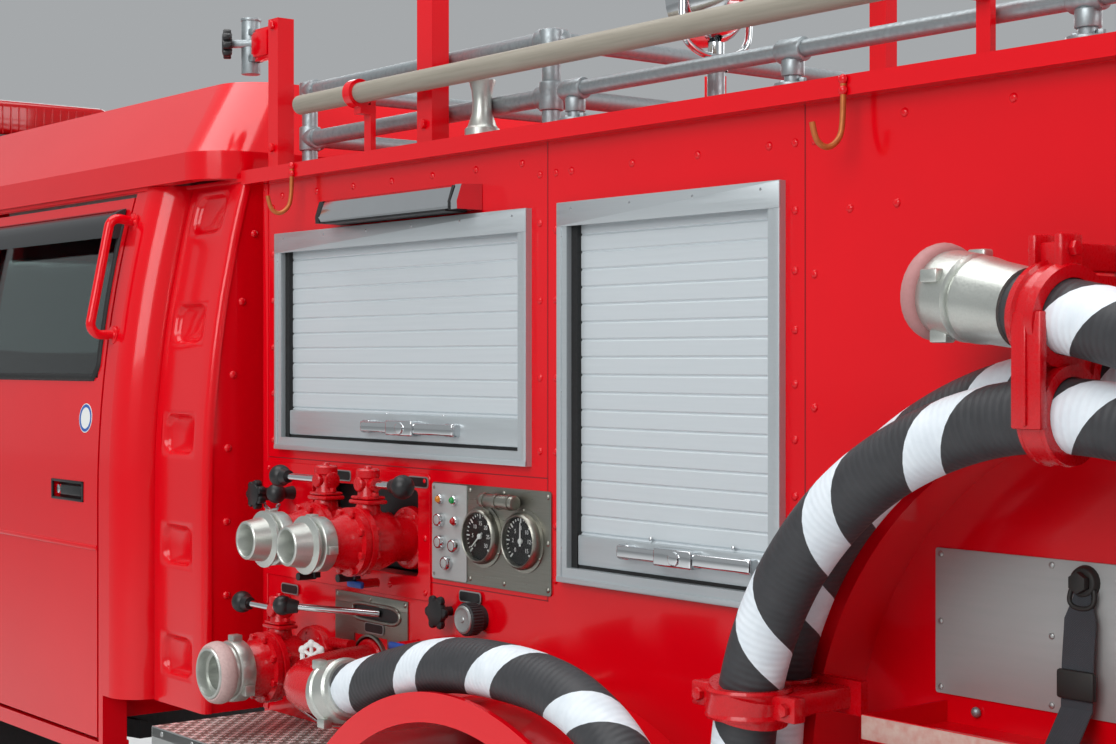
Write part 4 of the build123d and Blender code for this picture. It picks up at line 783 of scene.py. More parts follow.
def make_hose(side):
    """Ribbed suction hose: one ring carried along the line, its length and angle kept for the white band."""
    line = hose_line(side)
    segments = 24
    bm = bmesh.new()
    along, ring_sin, ring_cos = [bm.verts.layers.float.new(layer) for layer in HOSE_LAYERS]
    heading = (line[1] - line[0]).normalized()
    turn = Vector(UP).rotation_difference(heading)
    spot, run = line[0], 0.0
    place = Matrix.Translation(spot) @ turn.to_matrix().to_4x4()
    ring = bmesh.ops.create_circle(bm, cap_ends=True, segments=segments, radius=HOSE_R, matrix=place)["verts"]
    for number, vert in enumerate(ring):
        angle = math.tau * number / segments
        vert[along], vert[ring_sin], vert[ring_cos] = 0.0, math.sin(angle), math.cos(angle)
    edges = [edge for edge in bm.edges if all(v in ring for v in edge.verts)]
    for number in range(1, len(line)):
        ahead = line[min(number + 1, len(line) - 1)] - line[number - 1]
        step = line[number] - spot
        if step.length < 1e-5:
            continue
        bend = heading.rotation_difference(ahead.normalized())
        grown = bmesh.ops.extrude_edge_only(bm, edges=edges)["geom"]
        verts = [item for item in grown if isinstance(item, bmesh.types.BMVert)]
        edges = [item for item in grown if isinstance(item, bmesh.types.BMEdge)]
        bmesh.ops.translate(bm, vec=step, verts=verts)
        bmesh.ops.rotate(bm, cent=line[number], matrix=bend.to_matrix(), verts=verts)
        run += step.length
        for vert in verts:
            vert[along] = run
        heading, spot = ahead.normalized(), line[number]
    bmesh.ops.contextual_create(bm, geom=edges)
    piece, = publish(f"suction_hose_{'left' if side > 0 else 'right'}", bm, "hose_cover",
                     hides=("suction_hoses",), one=True, angle=60)
    return piece, line, run


def hose_fittings(line):
    """Cuffs and couplings at both ends of the left hose, and the rubber face ring on its free end."""
    inner, metal, rubber = blanks(3)
    start = line[0] / MM
    back = (line[0] - line[6]).normalized()
    turned(inner, start - back * 4, back, [
        (0, 46), (0, 51), (10, 53), (14, 58), (46, 58), (50, 61), (62, 61), (66, 56), (72, 56), (72, 40),
        (0, 40), (0, 46)])
    for spot in ring_of(start + back * 52, back, 61, 3, 0.6):
        block(inner, spot, (12, 10, 9), 3)
    ahead = (line[-1] - line[-6]).normalized()
    end = line[-1] / MM - ahead * HOSE_IN_COUPLING
    turned(metal, end - ahead * 6, ahead, [
        (0, 47), (0, 51), (58, 54), (66, 56), (80, 57), (83, 55), (85, 50), (91, 50), (93, 55), (95, 58),
        (130, 58), (136, 57), (146, 55), (146, 40), (0, 40), (0, 47)])
    for spot in ring_of(end + ahead * 112, ahead, 58, 4, 0.3):
        block(metal, spot, (14, 10, 9), 3)
    turned(rubber, end + ahead * 138, ahead, [
        (0, 40), (0, 57), (2, 61), (7, 64), (14, 65), (20, 63), (24, 58), (26, 51), (24, 43), (19, 38),
        (10, 38), (0, 40)])
    publish("inner_couplings", inner, "turned_aluminium")
    return (publish("free_couplings", metal, "turned_aluminium"),
            publish("coupling_rings", rubber, "pink_rubber"))


def suction_hoses():
    """Both hoses, each a stiff cord from the pump's elbow to its free coupling."""
    made = [make_hose(side) for side in (1, -1)]
    couplings, rings = hose_fittings(made[0][1])
    for (piece, line, run), coupling, ring in zip(made, couplings, rings):
        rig.cord(piece, exit=line[0], length=round(run, 3), diameter=2 * HOSE_R, far_end="fitting",
                stiffness="stiff", lay="coiled", path=line, with_pieces=[coupling, ring])


# ---------------------------------------------------------------- pump panel
def outlet_body(bm, x, z, ball, flange, reach, sunk):
    """Quarter-turn ball valve: flange, ball, split flange with bolts, dome and stem. Its seat lies sunk deep."""
    seat = 150 - sunk
    turned(bm, (x, SIDE_Y - 150, z), OUT, [
        (0, 0), (0, 38), (seat, 38), (seat, flange), (seat + 3, flange), (seat + 13, flange - 2),
        (seat + 16, flange - 6), (seat + 17, 46), (176, 43), (186, 47), (198, ball - 5), (214, ball),
        (242, ball), (250, ball + 2), (253, ball + 9), (264, ball + 9), (265.5, ball + 6), (268, ball + 6),
        (269.5, ball + 9), (281, ball + 9), (283, ball - 3), (300, ball - 6), (316, ball - 12), (326, 46),
        (150 + reach, 44), (150 + reach, 0)])
    for spot in ring_of((x, SIDE_Y + 13 - sunk, z), OUT, flange - 13, 8, 0.2):
        bolt(bm, spot, OUT, 7, 6)
    for spot in ring_of((x, SIDE_Y + 131, z), OUT, ball + 1, 8, 0.4):
        hexagon(bm, spot, OUT, 14, 8)
        hexagon(bm, Vector(spot) - Vector((0, 28, 0)), (0, -1, 0), 14, 7)
    top = z + ball + 8
    turned(bm, (x, STEM_Y, z + ball - 10), UP, [
        (0, 26), (16, 24), (18, 24), (24, 22), (24, 0)])
    side_box(bm, (x - 34, x + 34), (62, 108), (top + 6, top + 14), 3)
    side_box(bm, (x - 30, x + 30), (64, 106), (top + 15, top + 21), 3)
    for side in (-26, 26):
        hexagon(bm, (x + side, STEM_Y, top + 21), UP, 12, 8)
    turned(bm, (x, STEM_Y, top + 20), UP, [
        (0, 22), (4, 20), (34, 19), (37, 23), (50, 23), (53, 20), (54, 8), (58, 7), (59, 0)])
    turned(bm, (x, SIDE_Y + 108, top + 44), OUT, [(-20, 14), (0, 14), (2, 12), (2, 0)], 20)
    return top + 44


def coupling_mouth(bm, x, y, z, tail, shoulder, mouth, bore):
    """Turned outlet coupling: lugged tail ring, groove, flared collar and the taper down to its mouth."""
    turned(bm, (x, y, z), OUT, [
        (0, bore), (0, tail), (3, tail + 2), (26, tail + 2), (28, tail), (30, tail - 7), (35, tail - 7),
        (38, shoulder + 1), (41, shoulder + 4), (44, shoulder + 4), (46, shoulder - 1), (49, mouth + 6),
        (76, mouth + 1), (82, mouth), (84, mouth - 2), (84, bore + 2), (81, bore), (0, bore)])
    turned(bm, (x, y, z), OUT, [(26, bore), (27, bore * 0.8), (34, bore * 0.45), (37, 0)])
    for spot in ring_of((x, y + 15, z), OUT, tail + 1, 3, 0.9):
        block(bm, spot, (9, 10, 8), 2)


def inlet_mouth(bm, ring, x, y, z):
    """Inlet's swivel: lugged aluminium tail, and a worn rubber-faced ring with a stepped bore."""
    turned(bm, (x, y, z), OUT, [
        (0, 30), (0, 60), (3, 62), (28, 62), (32, 60), (34, 55), (46, 52), (74, 52), (77, 50), (77, 46),
        (70, 44), (58, 43), (57, 35), (46, 34), (30, 32), (28, 0)])
    for spot in ring_of((x, y + 16, z), OUT, 62, 3, 0.5):
        block(bm, spot, (11, 11, 11), 2)
    turned(ring, (x, y + 40, z), OUT, [
        (0, 51), (0, 57), (4, 61), (12, 63), (22, 62), (30, 59), (34, 55), (34, 51), (0, 51)])


def ball_knob(bm, centre, radius):
    """Moulded ball knob."""
    made = bmesh.ops.create_uvsphere(bm, u_segments=20, v_segments=12, radius=radius * MM)["verts"]
    bmesh.ops.translate(bm, vec=Vector(centre) * MM, verts=made)


def lobed_knob(bm, centre, direction, radius, depth, lobes=6):
    """Moulded hand knob: a hub with finger lobes round it."""
    start = Vector(centre)
    way = Vector(direction).normalized()
    rod(bm, start, start + way * depth, radius * 0.74, bevel=3)
    for spot in ring_of(start + way * depth * 0.1, way, radius * 0.72, lobes):
        rod(bm, spot, spot + way * depth * 0.8, radius * 0.28, segments=12, bevel=3)


def valve_lever(red, steel, black, x, z, reach):
    """Lever of one valve along the truck: hub, end cap, rod, grip and ball knob."""
    def spot(along):
        return x + along, STEM_Y, z
    way = 1 if reach > 0 else -1
    rod(red, spot(0), spot(way * 30), 13)
    rod(red, spot(-way * 20), spot(-way * 26), 17, segments=20, bevel=2)
    rod(steel, spot(way * 28), spot(reach - way * 16), 7.5)
    rod(black, spot(reach - way * 34), spot(reach - way * 10), 13, 17)
    ball_knob(black, spot(reach), bpy.context.scene.pumper_sizes.knob_radius / MM)


def pump_fittings():
    """Red valves, their bright couplings, levers and knobs."""
    red, bright, steel, black, worn = blanks(5)
    lever_z = []
    for x in OUTLET_X:
        lever_z.append(outlet_body(red, x, OUTLET_Z, 57, 62, 183, 18))
        coupling_mouth(bright, x, SIDE_Y + 183, OUTLET_Z, 50, 51, 37, 30)
    inlet_lever = outlet_body(red, INLET_X, INLET_Z, 63, 75, 186, 0)
    inlet_mouth(bright, worn, INLET_X, SIDE_Y + 174, INLET_Z)
    bent_bar(red, [(SUCTION_X, 500, SUCTION_Z), (SUCTION_X, 600, SUCTION_Z), (SUCTION_X - 4, 710, SUCTION_Z),
                   (SUCTION_X - 50, 830, SUCTION_Z), (SUCTION_X - 110, 888, SUCTION_Z),
                   (SUCTION_X - 160, 897, SUCTION_Z), (-591, 897, 862)], 45, resolution=10)
    turned(red, (SUCTION_X, SIDE_Y - 2, SUCTION_Z), OUT, [(0, 40), (0, 54), (10, 54), (14, 50), (14, 40),
                                                          (0, 40)])
    for x, lever, reach in zip((*OUTLET_X, INLET_X), (*lever_z, inlet_lever), (-118, 178, 157)):
        valve_lever(red, steel, black, x, lever, reach)
    rod(steel, (-400, SIDE_Y + 2, 968), (-283, SIDE_Y + 148, 985), 7)
    rod(black, (-300, SIDE_Y + 128, 982.5), (-283, SIDE_Y + 148, 985), 12, 18)
    ball_knob(black, (-280, SIDE_Y + 152, 985.4), 20)
    # drain cocks under the valves, and the drain's long rod
    for x, z in ((OUTLET_X[0] + 70, 1060), (OUTLET_X[1] + 66, 1050)):
        rod(red, (x, SIDE_Y + 70, z + 20), (x, SIDE_Y + 70, z - 6), 8, segments=12)
        hexagon(black, (x, SIDE_Y + 70, z - 16), UP, 22, 14)
        rod(black, (x, SIDE_Y + 70, z - 12), (x, SIDE_Y + 110, z - 12), 8, segments=12)
    rod(steel, (-190, SIDE_Y + 60, 760), (-330, SIDE_Y + 92, 752), 5, segments=12)
    rod(steel, (-330, SIDE_Y + 92, 752), (-338, SIDE_Y + 94, 751.5), 10, segments=16, bevel=2)
    publish("valve_bodies", red, "red_casting", hides=("pump_valves",))
    publish("valve_couplings", bright, "turned_aluminium", hides=("couplings",))
    publish("lever_rods", steel, "chrome_plate", hides=("valve_levers",))
    publish("lever_knobs", black, "moulded_black")
    publish("inlet_ring", worn, "worn_ring")

    blue, white, iron = blanks(3)
    for x, z in ((-420, 1034), (-566, 930)):
        side_box(blue, (x - 26, x + 26), (66, 76), (z - 7, z + 7), 4)
        rod(iron, (x, SIDE_Y + 20, z), (x, SIDE_Y + 70, z), 9, segments=14)
    wheel, lean = (-305, SIDE_Y + 100, 883), (-0.5, 1, 0)
    for spot in ring_of(wheel, lean, 24, 6):
        rod(white, wheel, spot, 4, segments=12)
        bolt(white, spot, lean, 9, 6)
    turned(white, (-305, SIDE_Y + 97, 883), lean, [(0, 20), (0, 27), (3, 29), (6, 27), (6, 20), (3, 18),
                                                   (0, 20)])
    rod(iron, (-257, SIDE_Y + 4, 883), wheel, 7, segments=14)
    rod(iron, (-340, SIDE_Y + 30, 902), (-262, SIDE_Y + 26, 898), 11, segments=16)
    publish("drain_handles", blue, "blue_plastic")
    publish("bleed_wheel", white, "white_enamel", slot="black_plastic")
    publish("cock_stems", iron, "red_casting")


def blank_plate(bm, face, x, z, wide, high):
    """Small blank name plate with its rim."""
    flat_plate(bm, outlined((x - wide / 2, x + wide / 2), (z - high / 2, z + high / 2), high * 0.3), "XZY",
               face - 0.5, face + 1.2)


def dial_numbers():
    """Numbers of the four gauges, written for each side of the truck."""
    for suffix, side in (("left", 1), ("right", -1)):
        bm = bmesh.new()
        turn = Matrix(((-side, 0, 0), (0, 0, side), OUT)).to_4x4()
        for x, top in zip(GAUGE_X, (30, 15)):
            for step in range(7):
                curve = bpy.data.curves.new("number", "FONT")
                curve.body = str(round(top * step / 6))
                curve.size = 11 * MM
                curve.extrude = 0.15 * MM
                curve.resolution_u = 3
                curve.align_x, curve.align_y = "CENTER", "CENTER"
                mesh = curve_mesh(curve)
                angle = math.radians(225 - 45 * step)
                spot = Vector((x - side * 23.5 * math.cos(angle), side * (PLATE_Y + 7.3),
                               GAUGE_Z + 23.5 * math.sin(angle)))
                mesh.transform(Matrix.Translation(spot * MM) @ turn)
                bm.from_mesh(mesh)
                bpy.data.meshes.remove(mesh)
        publish(f"dial_numbers_{suffix}", bm, "dial_white", one=True)


def instrument_plate():
    """Brushed plate with its two gauges and the pipe over them."""
    metal, dial, ink, glass = blanks(4)
    flat_plate(metal, outlined((-947, -584), (1056, 1240), 6), "XZY", SIDE_Y - 1, PLATE_Y)
    bolts(metal, ((-938, 1066), (-938, 1148), (-938, 1230), (-810, 1230), (-706, 1066), (-706, 1230),
                  (-593, 1066), (-593, 1230), (-810, 1066)), PLATE_Y, 5, 3)
    for x in GAUGE_X:
        turned(metal, (x, PLATE_Y - 2, GAUGE_Z), OUT, [
            (0, 44), (0, 58), (4, 58), (5, 51.5), (12, 51.5), (18, 49), (20, 46), (19, 44.5), (9, 44),
            (0, 44)])
        for spot in ring_of((x, PLATE_Y + 2, GAUGE_Z), OUT, 55, 3, 0.5):
            bolt(metal, spot, OUT, 3, 2)
        rod(dial, (x, PLATE_Y - 1, GAUGE_Z), (x, PLATE_Y + 7, GAUGE_Z), 45, segments=40)
        rod(glass, (x, PLATE_Y + 13.5, GAUGE_Z), (x, PLATE_Y + 15, GAUGE_Z), 44.6, segments=40)
        for tick in range(25):
            angle = math.radians(225 - 270 * tick / 24)
            inner = 33 if tick % 4 == 0 else 37
            across = 1.5 if tick % 4 == 0 else 0.9
            ray = Vector((math.cos(angle), 0, math.sin(angle)))
            centre = Vector((x, PLATE_Y + 7.4, GAUGE_Z))
            rod(ink, centre + ray * inner, centre + ray * 41.5, across, segments=6)
        needle = math.radians(-40 if x == GAUGE_X[0] else 90)
        ray = Vector((math.cos(needle), 0, math.sin(needle)))
        centre = Vector((x, PLATE_Y + 9.5, GAUGE_Z))
        rod(ink, centre - ray * 9, centre + ray * 33, 1.9, 0.8, segments=8)
        rod(ink, (x, PLATE_Y + 7, GAUGE_Z), (x, PLATE_Y + 11, GAUGE_Z), 5, segments=16)
    rod(metal, (-866, PLATE_Y + 17, 1216), (-764, PLATE_Y + 17, 1216), 13, bevel=3)
    for x in (-852, -815, -778):
        turned(metal, (x, PLATE_Y + 17, 1216), FORE, [(-4, 12), (-4, 14.5), (4, 14.5), (4, 12), (-4, 12)])
    box(metal, (-838, -792), (PLATE_Y - 1, PLATE_Y + 8), (1208, 1224), 2)
    publish("instrument_plate", metal, "brushed_stainless", hides=("panel_plates",))
    publish("gauge_dials", dial, "dial_black")
    publish("gauge_marks", ink, "dial_white")
    publish("gauge_glasses", glass, "gauge_glass")


def switch_strip():
    """Strip of switches and pilot lamps beside the gauges."""
    strip, rims = blanks(2)
    flat_plate(strip, outlined((-697, -586), (1058, 1238), 4), "XZY", PLATE_Y - 0.5, PLATE_Y + 2)
    lamps = {"amber_lens": bmesh.new(), "green_lens": bmesh.new(), "red_lens": bmesh.new()}
    for x, z, lens in ((-617, 1209, "amber_lens"), (-662, 1209, "green_lens"), (-665, 1170, "red_lens")):
        turned(rims, (x, PLATE_Y + 1.5, z), OUT, [(0, 5), (0, 9), (7, 9), (9, 7.5), (9, 5), (0, 5)])
        ball = bmesh.ops.create_uvsphere(lamps[lens], u_segments=14, v_segments=8, radius=6.5 * MM)["verts"]
        bmesh.ops.translate(lamps[lens], vec=Vector((x, PLATE_Y + 10, z)) * MM, verts=ball)
    for x, z in ((-617, 1170), (-619, 1128), (-664, 1124), (-640, 1090)):
        turned(rims, (x, PLATE_Y + 1.5, z), OUT, [(0, 7), (0, 13), (10, 13), (13, 11), (13, 9), (0, 7)])
        rod(strip, (x, PLATE_Y + 1, z), (x, PLATE_Y + 15, z), 9, bevel=1.5)
    publish("switch_strip", strip, "matte_aluminium")
    publish("switch_rims", rims, "chrome_plate", hides=("panel_controls",))
    for lens, bm in lamps.items():
        publish(f"switch_lamp_{lens}", bm, lens, slot="lamp_lens")


def suction_surround():
    """Plate round the suction elbow, with the elbow's hole and the lever's slot."""
    surround = bmesh.new()
    face = SIDE_Y
    side_box(surround, (-500, -238), (-1, 3), (980, 1002), 1)
    for x, z in (((-500, -470), (955, 980)), ((-310, -238), (955, 980)), ((-500, -238), (921, 955)),
                 ((-500, -429), (760, 921)), ((-309, -238), (760, 921)), ((-429, -309), (760, 801))):
        side_box(surround, x, (-1, 3), z)
    turned(surround, (SUCTION_X, face - 1, SUCTION_Z), OUT, [(0, 58), (0, 64), (8, 63), (9, 59), (0, 58)])
    bent_bar(surround, [(-474, face + 3, 967), (-474, face + 3, 984), (-390, face + 3, 984),
                        (-306, face + 3, 984), (-306, face + 3, 967), (-306, face + 3, 951),
                        (-390, face + 3, 951), (-474, face + 3, 951), (-474, face + 3, 967)], 4)
    bolts(surround, ((-492, 994), (-369, 994), (-246, 994), (-492, 880), (-246, 880), (-492, 770),
                     (-246, 770)), face + 3, 5, 3)
    publish("suction_surround", surround, "brushed_stainless")


def valve_frame():
    """Red frame round the valves' opening."""
    red = bmesh.new()
    face = SIDE_Y
    rings = []
    for inset, out in ((0, -1), (0, 3), (1, 4)):
        rings.append([(x, face + out, z) for x, z in outlined((-577 + inset, 50 - inset),
                                                              (1010 + inset, 1254 - inset), 12)])
    for inset, out in ((1, 4), (0, 3), (0, -1)):
        rings.append([(x, face + out, z) for x, z in outlined((-537 - inset, -150 + inset),
                                                              (1053 - inset, 1221 + inset), 12)])
    skin(red, rings, around=True)
    bolts(red, ((-562, 1240), (-562, 1130), (-562, 1025), (-440, 1030), (-330, 1030), (30, 1240), (30, 1025)),
          face + 4, 6, 4)
    publish("valve_frame", red, "red_enamel")


def hand_knobs():
    """Knobs, round cap and blank name plates, and black sheets that paint the shade inside the valves' opening and
    behind the lever's slot.
    """
    dark, cap, lid, plates, rims = blanks(5)
    face = SIDE_Y
    # black sheet set back inside the valves' opening: painted shade of the opening's inside
    side_box(dark, (-537, -150), (-70, -64), (1053, 1221))
    lobed_knob(dark, (-640, face + 26, 999), OUT, 34, 13)
    rod(dark, (-640, face, 999), (-640, face + 26, 999), 9)
    # black sheet behind the suction surround's lever slot: painted shade in the slot
    side_box(dark, (-471, -309), (0.4, 1), (954, 981))
    lobed_knob(dark, (-10, face + 48, 1186), OUT, 32, 20, 7)
    rod(dark, (-10, face + 2, 1186), (-10, face + 52, 1186), 14)
    rod(dark, (-70, face + 2, 1191), (-70, face + 30, 1191), 15, 11)
    ball_knob(dark, (-70, face + 44, 1191), 21)
    publish("hand_knobs", dark, "moulded_black")
    turned(cap, (-736, face, 996), OUT, [(0, 0), (0, 24), (12, 24), (14, 29), (38, 29), (40, 27), (40, 0)])
    for spot in ring_of((-736, face + 15, 996), OUT, 29, 32):
        rod(cap, spot, spot + Vector((0, 22, 0)), 1.8, segments=6)
    turned(lid, (-736, face + 39, 996), OUT, [(0, 25), (2, 26), (4, 25), (5, 22), (3.5, 19), (3.5, 6), (5, 4),
                                              (5, 0)])
    publish("round_cap", cap, "cast_dash")
    publish("round_cap_face", lid, "rolled_aluminium", slot="zinc")
    for x, z in ((-59, 986), (-265, 1237), (-539, 1237), (-708, 1032), (-385, 938)):
        blank_plate(plates, face + 5.2, x, z, 62, 17)
        blank_plate(rims, face + 4.2, x, z, 68, 22)
    publish("label_plates", plates, "dial_black")
    publish("label_rims", rims, "rolled_aluminium", slot="anodised")


# ---------------------------------------------------------------- body
def body_sheets():
    """Bolts, dark red strips that paint the shade of the sheet joints, and corner strips of the body side."""
    heads, joints = blanks(2)
    face = SIDE_Y
    columns = (
        (-912, (1800, 1714, 1577, 1440, 1310)), (-957, (1800, 1700, 1577, 1440, 1310, 1180, 1085)),
        (-1535, (1800, 1698, 1607, 1517, 1435, 1351, 1265, 1180)), (-1646, (1694,)), (-1736, (1696,)),
        (-1814, (1513,)), (-1575, (1800, 1600, 1400, 1200)), (20, (1800, 1700, 1600, 1500, 1400, 1300)),
    (-2770, (1800, 1600, 1400, 1200, 1000)), )
    for x, heights in columns:
        bolts(heads, [(x, z) for z in heights], face, 7, 4)
    for row, z in ((range(-860, 0, 140), 1824), (range(-2700, -1560, 190), 1824),
                   (range(-1480, -980, 160), 1800)):
        bolts(heads, [(x, z) for x in row], face, 7, 4)
    bolts(heads, [polar(NICHE_X, NICHE_Z, NICHE_BOLTS_R, angle) for angle in range(15, 180, 25)], face, 7, 4)
    publish("body_bolts", heads, "red_enamel")
    # thin dark red strips on the sheet joints: painted shade of the joints' grooves
    for x, z in ((-934, (1046, 1855)), (-1556, (1270, 1855))):
        side_box(joints, (x - 1.2, x + 1.2), (-0.5, 0.4), z)
    side_box(joints, (-934, 50), (-0.5, 0.4), (1262, 1264))
    side_box(joints, (-934, 50), (-0.5, 0.4), (1046, 1048))
    publish("painted_seam_shadows", joints, "deep_red")
    edging = bmesh.new()
    side_box(edging, (36, 58), (-20, 3), (716, 1855), 3)
    side_box(edging, (-2803, -2778), (-20, 3), (560, 1855), 3)
    publish("corner_strips", edging, "red_enamel")


def shutter_trim():
    """Header screws, brush strips, bottom bars and the chrome lift handles of the roller shutters."""
    screws, brush, bar, chrome = blanks(4)
    face = SIDE_Y + 12
    for rear, front, low, high in (LEFT_SHUTTER, RIGHT_SHUTTER):
        count = 6 if front - rear > 700 else 4
        for number in range(count):
            x = rear + 40 + (front - rear - 80) * number / (count - 1)
            bolt(screws, (x, face, high - 12), OUT, 5, 2.5)
        heights = (low + 60, (low + high) / 2, high - 60)
        bolts(screws, [(x, z) for z in heights for x in (rear + 9, front - 9)], face, 4, 2)
        side_box(brush, (front - 42, front - 25), (-14, 1), (low + 26, high - 30))
        side_box(brush, (rear + 26, front - 26), (-9, -2), (low + 20, low + 32))
        side_box(bar, (rear + 30, front - 44), (-10, 2), (low + 32, low + 84), 3)
        flat_plate(bar, outlined((rear, front), (high - 42, high), 1), "XZY", face - 1, face + 2, 1)
        for x in (rear + 6, front - 6):
            box(bar, (x - 6, x + 6), (face - 1, face + 2), (low, high - 42), 1)
        box(bar, (rear, front), (face - 1, face + 3), (low, low + 10), 1)
    for front_x, rear_x, z in ((-358, -673, 1340), (-1143, -1458, 1152)):
        middle = (front_x + rear_x) / 2
        side_box(chrome, (rear_x, front_x), (14, 22), (z - 11, z + 11), 4, 3)
        side_box(chrome, (middle - 30, middle + 60), (-3, 27), (z - 15, z + 15), 4, 3)
        for x in (rear_x + 15, front_x - 15):
            side_box(chrome, (x - 15, x + 15), (-6, 20), (z - 13, z + 13), 5, 3)
        rod(chrome, (middle + 8, SIDE_Y + 20, z), (middle + 8, SIDE_Y + 31, z), 12, bevel=2)
        for x in (front_x - 60, rear_x + 60):
            bolt(chrome, (x, SIDE_Y - 3, z + 24), OUT, 4, 3)
    publish("shutter_screws", screws, "chrome_plate")
    publish("shutter_brushes", brush, "seal_rubber")
    publish("shutter_bars", bar, "anodised_frame")
    publish("lift_handles", chrome, "chrome_plate", hides=("shutter_handles",))

    rear_chrome, rear_bar = blanks(2)
    box(rear_bar, (-2802, -2790), (-440, 440), (852, 900), 3)
    box(rear_bar, (-2814, -2811), (-470, 470), (1680, 1720), 1)
    box(rear_chrome, (-2824, -2816), (-160, 160), (866, 886), 4, 3)
    for y in (-145, 0, 145):
        box(rear_chrome, (-2820, -2798), (y - 18, y + 18), (862, 890), 5, 3)
    publish("rear_shutter_bar", rear_bar, "anodised_frame", one=True)
    publish("rear_lift_handle", rear_chrome, "chrome_plate", one=True)


def side_plate(bm, section, low, high, bevel=0.0):
    """Plate along the truck, from its section: pairs of how far out from the body's side, and the height."""
    flat_plate(bm, [(SIDE_Y + out, z) for out, z in section], "YZX", low, high, bevel)


def flood_light():
    """Chrome flood light over the front shutter, its black lens end and a chrome end cap."""
    shell, dark = blanks(2)
    side_plate(shell, ((2, 1750), (58, 1750), (60, 1760), (50, 1790), (40, 1795), (2, 1795)), -715, -262, 2)
    for x, far in ((-262, 12), (-715, 3)):
        side_plate(dark, ((1, 1748), (59, 1748), (60, 1762), (50, 1793), (1, 1796)), x - 3, x + far, 2)
    side_plate(shell, ((1, 1748), (58, 1748), (59, 1762), (48, 1794), (1, 1796)), -741, -718, 3)
    side_box(dark, (-700, -280), (6, 56), (1746, 1751))
    publish("flood_shell", shell, "chrome_plate", hides=("flood_lights",))
    publish("flood_ends", dark, "moulded_black")


def lip_hooks():
    """Copper-coloured wire hooks that hang from the roof lip."""
    bm, screws = blanks(2)
    for x in (-115, -1663):
        y = SIDE_Y + 33
        bent_bar(bm, [(x, y, 1882), (x, y, 1850), (x, y + 1, 1818), (x, y + 6, 1792), (x + 6, y + 24, 1776),
                      (x + 12, y + 40, 1783), (x + 15, y + 46, 1800), (x + 16, y + 48, 1814)], 4.5)
        for z in (1878, 1862):
            bolt(screws, (x, SIDE_Y + 34, z), OUT, 8, 6)
    publish("wire_hooks", bm, "copper_hook")
    publish("hook_screws", screws, "red_enamel")


def niche_gear():
    """Niche plate with its rivets, the strap with its bolt and buckle, and the tray's bolts."""
    plate, rivets, strap, buckle = blanks(4)
    back, strap_x = SIDE_Y - 100, -1986
    flat_plate(plate, outlined((-2535, -1725), (985, 1197), 4), "XZY", back - 1, back + 3, 0.6)
    for x in (-2525, -2330, -1930, -1735):
        for z in (994, 1090, 1188):
            bolt(rivets, (x, back + 3, z), OUT, 5, 2.5)
    spine = [(1178, 8), (1150, 9), (1120, 14), (1060, 20), (1000, 22), (950, 60), (942, 160), (930, 184),
             (880, 188)]
    for pair in zip(spine, spine[1:]):
        rows = [[(strap_x + side * (14 if z > 1140 else 25), back + 3 + y, z) for side in sides]
                for (z, y), sides in zip(pair, ((-1, 1), (1, -1)))]
        strap.faces.new([strap.verts.new(Vector(spot) * MM) for row in rows for spot in row])
    bmesh.ops.remove_doubles(strap, verts=strap.verts, dist=1e-6)
    bmesh.ops.recalc_face_normals(strap, faces=strap.faces)
    bmesh.ops.solidify(strap, geom=strap.faces[:], thickness=2.5 * MM)
    rod(buckle, (strap_x, back, 1170), (strap_x, back + 14, 1170), 24, 20, bevel=3)
    hexagon(buckle, (strap_x, back + 14, 1170), OUT, 26, 12)
    bent_bar(buckle, [(strap_x + x, back + out, z) for x, out, z in (
        (-18, 10, 1160), (-22, 13, 1146), (-14, 14, 1136), (0, 14, 1134), (14, 14, 1136), (22, 13, 1146),
        (18, 10, 1160))], 3.5)
    box(buckle, (strap_x - 30, strap_x + 30), (back + 20, back + 30), (1012, 1052), 4)
    publish("niche_plate", plate, "matte_aluminium", slot="stainless")
    publish("niche_rivets", rivets, "rolled_aluminium", slot="stainless")
    for piece in publish("niche_strap", strap, "strap_webbing", hides=("hose_straps",)):
        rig.sheet(piece, flat=(0.05, 0.44), held="hung", rests_on=["hose_niches"], area=0.0205)
    publish("strap_buckle", buckle, "forged_steel")
    pins = bmesh.new()
    for x in (-2420, -2130, -1800):
        bolt(pins, (x, back + 4, 966), OUT, 8, 6)
    publish("tray_bolts", pins, "galvanised")
    worn = bmesh.new()
    box(worn, (-2500, -1740), (back + 178.5, back + 180), (941, 974), 0.4)
    publish("tray_worn_edge", worn, "worn_edge")


